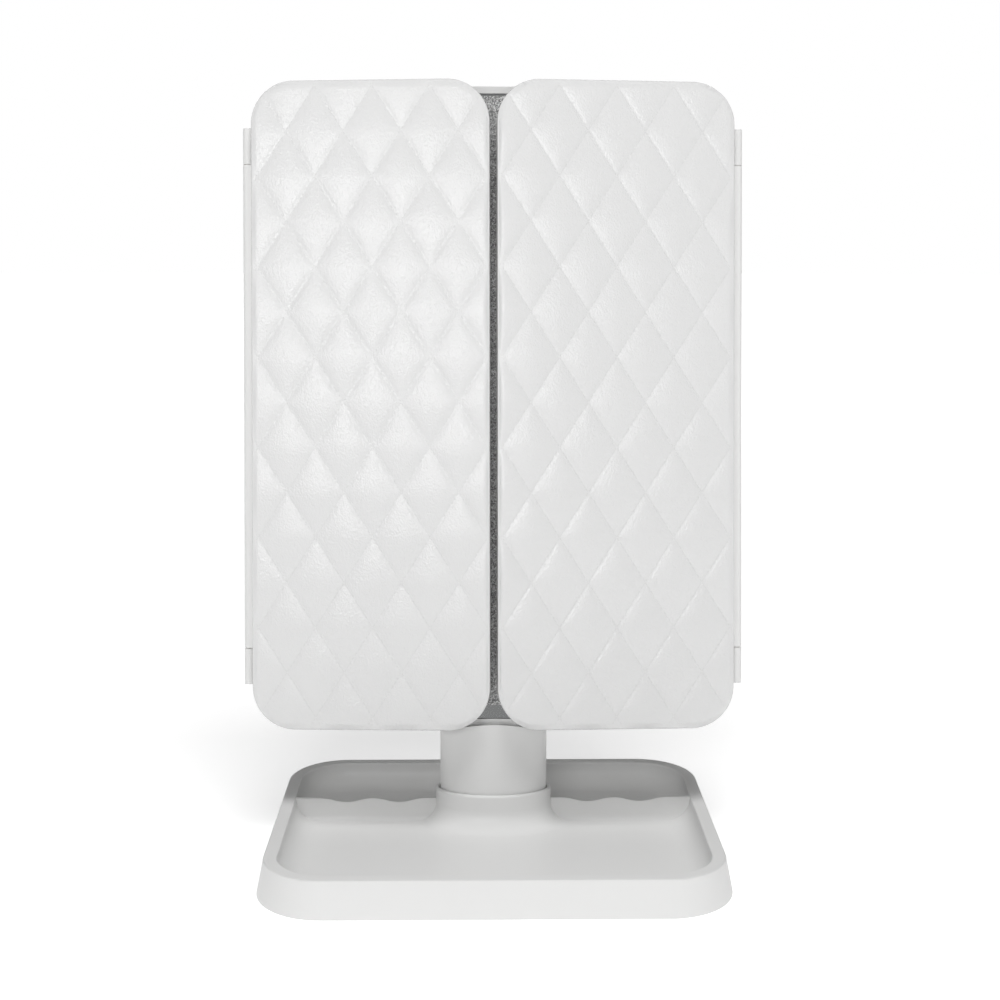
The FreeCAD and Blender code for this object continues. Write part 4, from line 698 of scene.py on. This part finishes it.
def quilted_sheet(grid, heights, word, side, name, set_back):
    """The inflated sheet in the outline of its cover, as a mesh still open all round."""
    middle_x, middle_z = PATTERN_MIDDLE[word]
    data = bpy.data.meshes.new(name)
    points = [(side * (middle_x + x), -height * PILLOW_HEIGHT, middle_z + z)
              for (x, z), height in zip(grid.places, heights)]
    faces = grid.faces if side > 0 else [face[::-1] for face in grid.faces]
    data.from_pydata(points, [], faces)
    mesh = bmesh.new()
    mesh.from_mesh(data)
    cut_to_outline(mesh, side)
    quilt = mesh.verts.layers.float_vector.new("quilt")
    for vertex in mesh.verts:
        x, z = side * vertex.co.x, vertex.co.z
        depth = min(max((outline_depth(x, z) - EDGE_ROLL) / BORDER_FADE, 0.0), 1.0)
        fade = math.sqrt(1 - (1 - depth) ** 2)
        vertex.co.y = COVER_FRONT + set_back + PILLOW_HEIGHT + vertex.co.y * fade
        across = (x - middle_x) / DIAMOND_HALF_WIDTH
        up = (z - middle_z) / DIAMOND_HALF_HEIGHT
        vertex[quilt] = (across, up, fade)
    return data, mesh


def roll_edge(mesh, side, front, radius):
    """Turns the open edge round a quarter circle and straight back. Returns the new open edge."""
    edges = [edge for edge in mesh.edges if edge.is_boundary]
    turns = [step * math.pi / 2 / ROLL_STEPS for step in range(ROLL_STEPS + 1)]
    for before, turn in zip(turns + turns[-1:], turns[1:] + [None]):
        grown = bmesh.ops.extrude_edge_only(mesh, edges=edges)["geom"]
        edges = [item for item in grown
                 if isinstance(item, bmesh.types.BMEdge) and item.is_boundary]
        for vertex in {vertex for edge in edges for vertex in edge.verts}:
            if turn is None:
                vertex.co.y = COVER_BACK
            else:
                way = outward(side * vertex.co.x, vertex.co.z)
                out = radius * (math.sin(turn) - math.sin(before))
                vertex.co.x += side * way.x * out
                vertex.co.z += way.y * out
                vertex.co.y = front + radius * (1 - math.cos(turn))
    return edges


def face_front(mesh):
    """Makes all faces agree, with the quilted side facing forwards."""
    bmesh.ops.recalc_face_normals(mesh, faces=mesh.faces[:])
    if sum(face.normal.y * face.calc_area() for face in mesh.faces) > 0:
        bmesh.ops.reverse_faces(mesh, faces=mesh.faces[:])


def soft_piece(name, data, mesh, word, side, node, slot):
    """Puts a finished padded mesh on its wing."""
    mesh.transform(wing_place(word, side))
    mesh.to_mesh(data)
    mesh.free()
    for face in data.polygons:
        face.use_smooth = True
    piece = into_scene(name, data)
    data.materials.append(FINISHES[slot])
    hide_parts(node)
    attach(piece, f"{word}_wing")
    return piece


def quilted_cover(grid, heights, word, side):
    """Leather drawn over the foam: quilted pillows, a soft rolled edge, open behind."""
    name = f"quilted_leather_{word}"
    data, mesh = quilted_sheet(grid, heights, word, side, name, set_back=0.0)
    roll_edge(mesh, side, COVER_FRONT + PILLOW_HEIGHT, EDGE_ROLL)
    face_front(mesh)
    cover = soft_piece(name, data, mesh, word, side, f"quilted_cover_{word}", "white_leather")
    shell = cover.modifiers.new("thickness", "SOLIDIFY")
    shell.thickness = LEATHER
    shell.offset = -1.0
    apply_modifiers(cover)


def quilted_foam(grid, heights, word, side):
    """The foam under the leather, pressed into the same pillows and closed behind."""
    name = f"quilted_foam_{word}"
    gap = LEATHER + FOAM_ROOM
    data, mesh = quilted_sheet(grid, heights, word, side, name, set_back=gap)
    edges = roll_edge(mesh, side, COVER_FRONT + PILLOW_HEIGHT + gap, EDGE_ROLL - gap)
    bmesh.ops.contextual_create(mesh, geom=edges)
    bmesh.ops.recalc_face_normals(mesh, faces=mesh.faces[:])
    soft_piece(name, data, mesh, word, side, f"foam_pad_{word}", "foam")


def apply_modifiers(piece):
    """Makes the piece's modifiers part of its mesh."""
    bpy.ops.object.select_all(action="DESELECT")
    bpy.context.view_layer.objects.active = piece
    piece.select_set(True)
    for modifier in list(piece.modifiers):
        bpy.ops.object.modifier_apply(modifier=modifier.name)
    piece.select_set(False)


def quilted_wings():
    """Leather and foam of both wings. The seed makes each wing's pillows a little different."""
    grid = QuiltGrid()
    for word, side, seed in (("left", -1, 3.0), ("right", 1, 8.0)):
        heights = inflate(grid, seed)
        quilted_cover(grid, heights, word, side)
        quilted_foam(grid, heights, word, side)


# ---------------------------------------------------------------- screws of the back cover

SCREW_PLACES = [(x * MM, z * MM) for x in (-106.0, 106.0) for z in (10.5, 154.0, 297.5)]
SCREW_TOP = 10.4 * MM
SCREW_HEAD = 1.6 * MM
SCREW_HEAD_RADIUS = 2.6 * MM
SCREW_SHANK = 13.2 * MM
SCREW_SHANK_RADIUS = 1.3 * MM
SCREW_EDGE = 0.35 * MM
SCREW_EDGE_STEPS = 3
SCREW_SIDES = 32
SCREW_SPIN = 0.9
SHARP_EDGE = math.radians(35)
CROSS_LENGTH = 2.9 * MM
CROSS_WIDTH = 0.62 * MM
CROSS_DEPTH = 1.0 * MM
CROSS_TAPER = 0.6
NEARLY_LEVEL = 0.9


def faces_up(face):
    """Whether a face looks straight up, or nearly."""
    return face.normal.z > NEARLY_LEVEL


def faces_down(face):
    """Whether a face looks straight down, or nearly."""
    return face.normal.z < -NEARLY_LEVEL


def select_faces(test):
    """Leaves just the faces of the mesh in edit mode that pass the test selected."""
    mesh = bmesh.from_edit_mesh(bpy.context.object.data)
    for face in mesh.faces:
        face.select_set(False)
    for face in mesh.faces:
        if test(face):
            face.select_set(True)
    mesh.select_flush_mode()
    bmesh.update_edit_mesh(bpy.context.object.data)


def combine(piece, other, name, operation):
    """Joins the other object to the piece, or cuts it out, and takes the other away."""
    modifier = piece.modifiers.new(name, "BOOLEAN")
    modifier.operation = operation
    modifier.object = other
    apply_modifiers(piece)
    bpy.data.objects.remove(other)


def cross_cutter():
    """Two crossed blades, narrower at the bottom, that cut the recess of a screw."""
    bpy.ops.object.select_all(action="DESELECT")
    blades = []
    for turn in (0.0, math.pi / 2):
        bpy.ops.mesh.primitive_cube_add(size=1.0, location=(0, 0, 0), rotation=(0, 0, turn))
        blade = bpy.context.object
        blade.scale = (CROSS_LENGTH, CROSS_WIDTH, 2 * CROSS_DEPTH)
        bpy.ops.object.transform_apply(location=True, rotation=True, scale=True)
        bpy.ops.object.mode_set(mode="EDIT")
        select_faces(faces_down)
        bpy.ops.transform.resize(value=(CROSS_TAPER, CROSS_TAPER, 1.0))
        bpy.ops.object.mode_set(mode="OBJECT")
        blades.append(blade)
    combine(blades[0], blades[1], "crossed", "UNION")
    return blades[0]


def cross_head_screw():
    """One screw, head up, with the top of its head at the origin."""
    bpy.ops.object.select_all(action="DESELECT")
    bpy.ops.mesh.primitive_cylinder_add(vertices=SCREW_SIDES, radius=SCREW_HEAD_RADIUS,
                                        depth=SCREW_HEAD, location=(0, 0, -SCREW_HEAD / 2))
    screw = bpy.context.object
    bpy.ops.object.transform_apply(location=True, rotation=True, scale=True)
    bpy.ops.object.mode_set(mode="EDIT")
    select_faces(faces_down)
    bpy.ops.mesh.inset(thickness=SCREW_HEAD_RADIUS - SCREW_SHANK_RADIUS)
    bpy.ops.mesh.extrude_region_move(TRANSFORM_OT_translate={"value": (0, 0, -SCREW_SHANK)})
    select_faces(faces_up)
    bpy.ops.mesh.bevel(offset=SCREW_EDGE, segments=SCREW_EDGE_STEPS, affect="EDGES")
    bpy.ops.object.mode_set(mode="OBJECT")
    combine(screw, cross_cutter(), "cross_recess", "DIFFERENCE")
    return screw


def cover_screws():
    """The six screws in the back of the head, each turned a little further than the one before."""
    first = cross_head_screw()
    lay_down = Matrix.Rotation(-math.pi / 2, 4, "X")
    screws = []
    for index, (x, z) in enumerate(SCREW_PLACES):
        screw = into_scene(f"cross_head_screw_{index}", first.data.copy())
        spin = Matrix.Rotation(index * SCREW_SPIN, 4, "Z")
        there = Matrix.Translation((x, SCREW_TOP, z))
        screw.data.transform(head_place @ there @ lay_down @ spin)
        screws.append(screw)
    bpy.data.objects.remove(first)
    bpy.ops.object.select_all(action="DESELECT")
    for screw in screws:
        screw.select_set(True)
    bpy.context.view_layer.objects.active = screws[0]
    bpy.ops.object.join()
    set_of_screws = bpy.context.object
    set_of_screws.name = "cross_head_screws"
    bpy.ops.object.shade_smooth_by_angle(angle=SHARP_EDGE)
    set_of_screws.data.materials.clear()
    set_of_screws.data.materials.append(FINISHES["steel"])
    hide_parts("cover_screws")
    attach(set_of_screws, "head")


# ---------------------------------------------------------------- floor

FLOOR_SIDES = 96
FLOOR_RADIUS = 12.0


def lay_floor():
    """A wide round of white paper under the object."""
    bpy.ops.object.select_all(action="DESELECT")
    bpy.ops.mesh.primitive_circle_add(vertices=FLOOR_SIDES, radius=FLOOR_RADIUS,
                                      fill_type="NGON", location=(0, 0, 0))
    floor = bpy.context.object
    floor.name = "floor"
    floor.data.materials.append(studio_floor())


set_camera()
set_light()
finish_nodes()
quilted_wings()
cover_screws()
lay_floor()
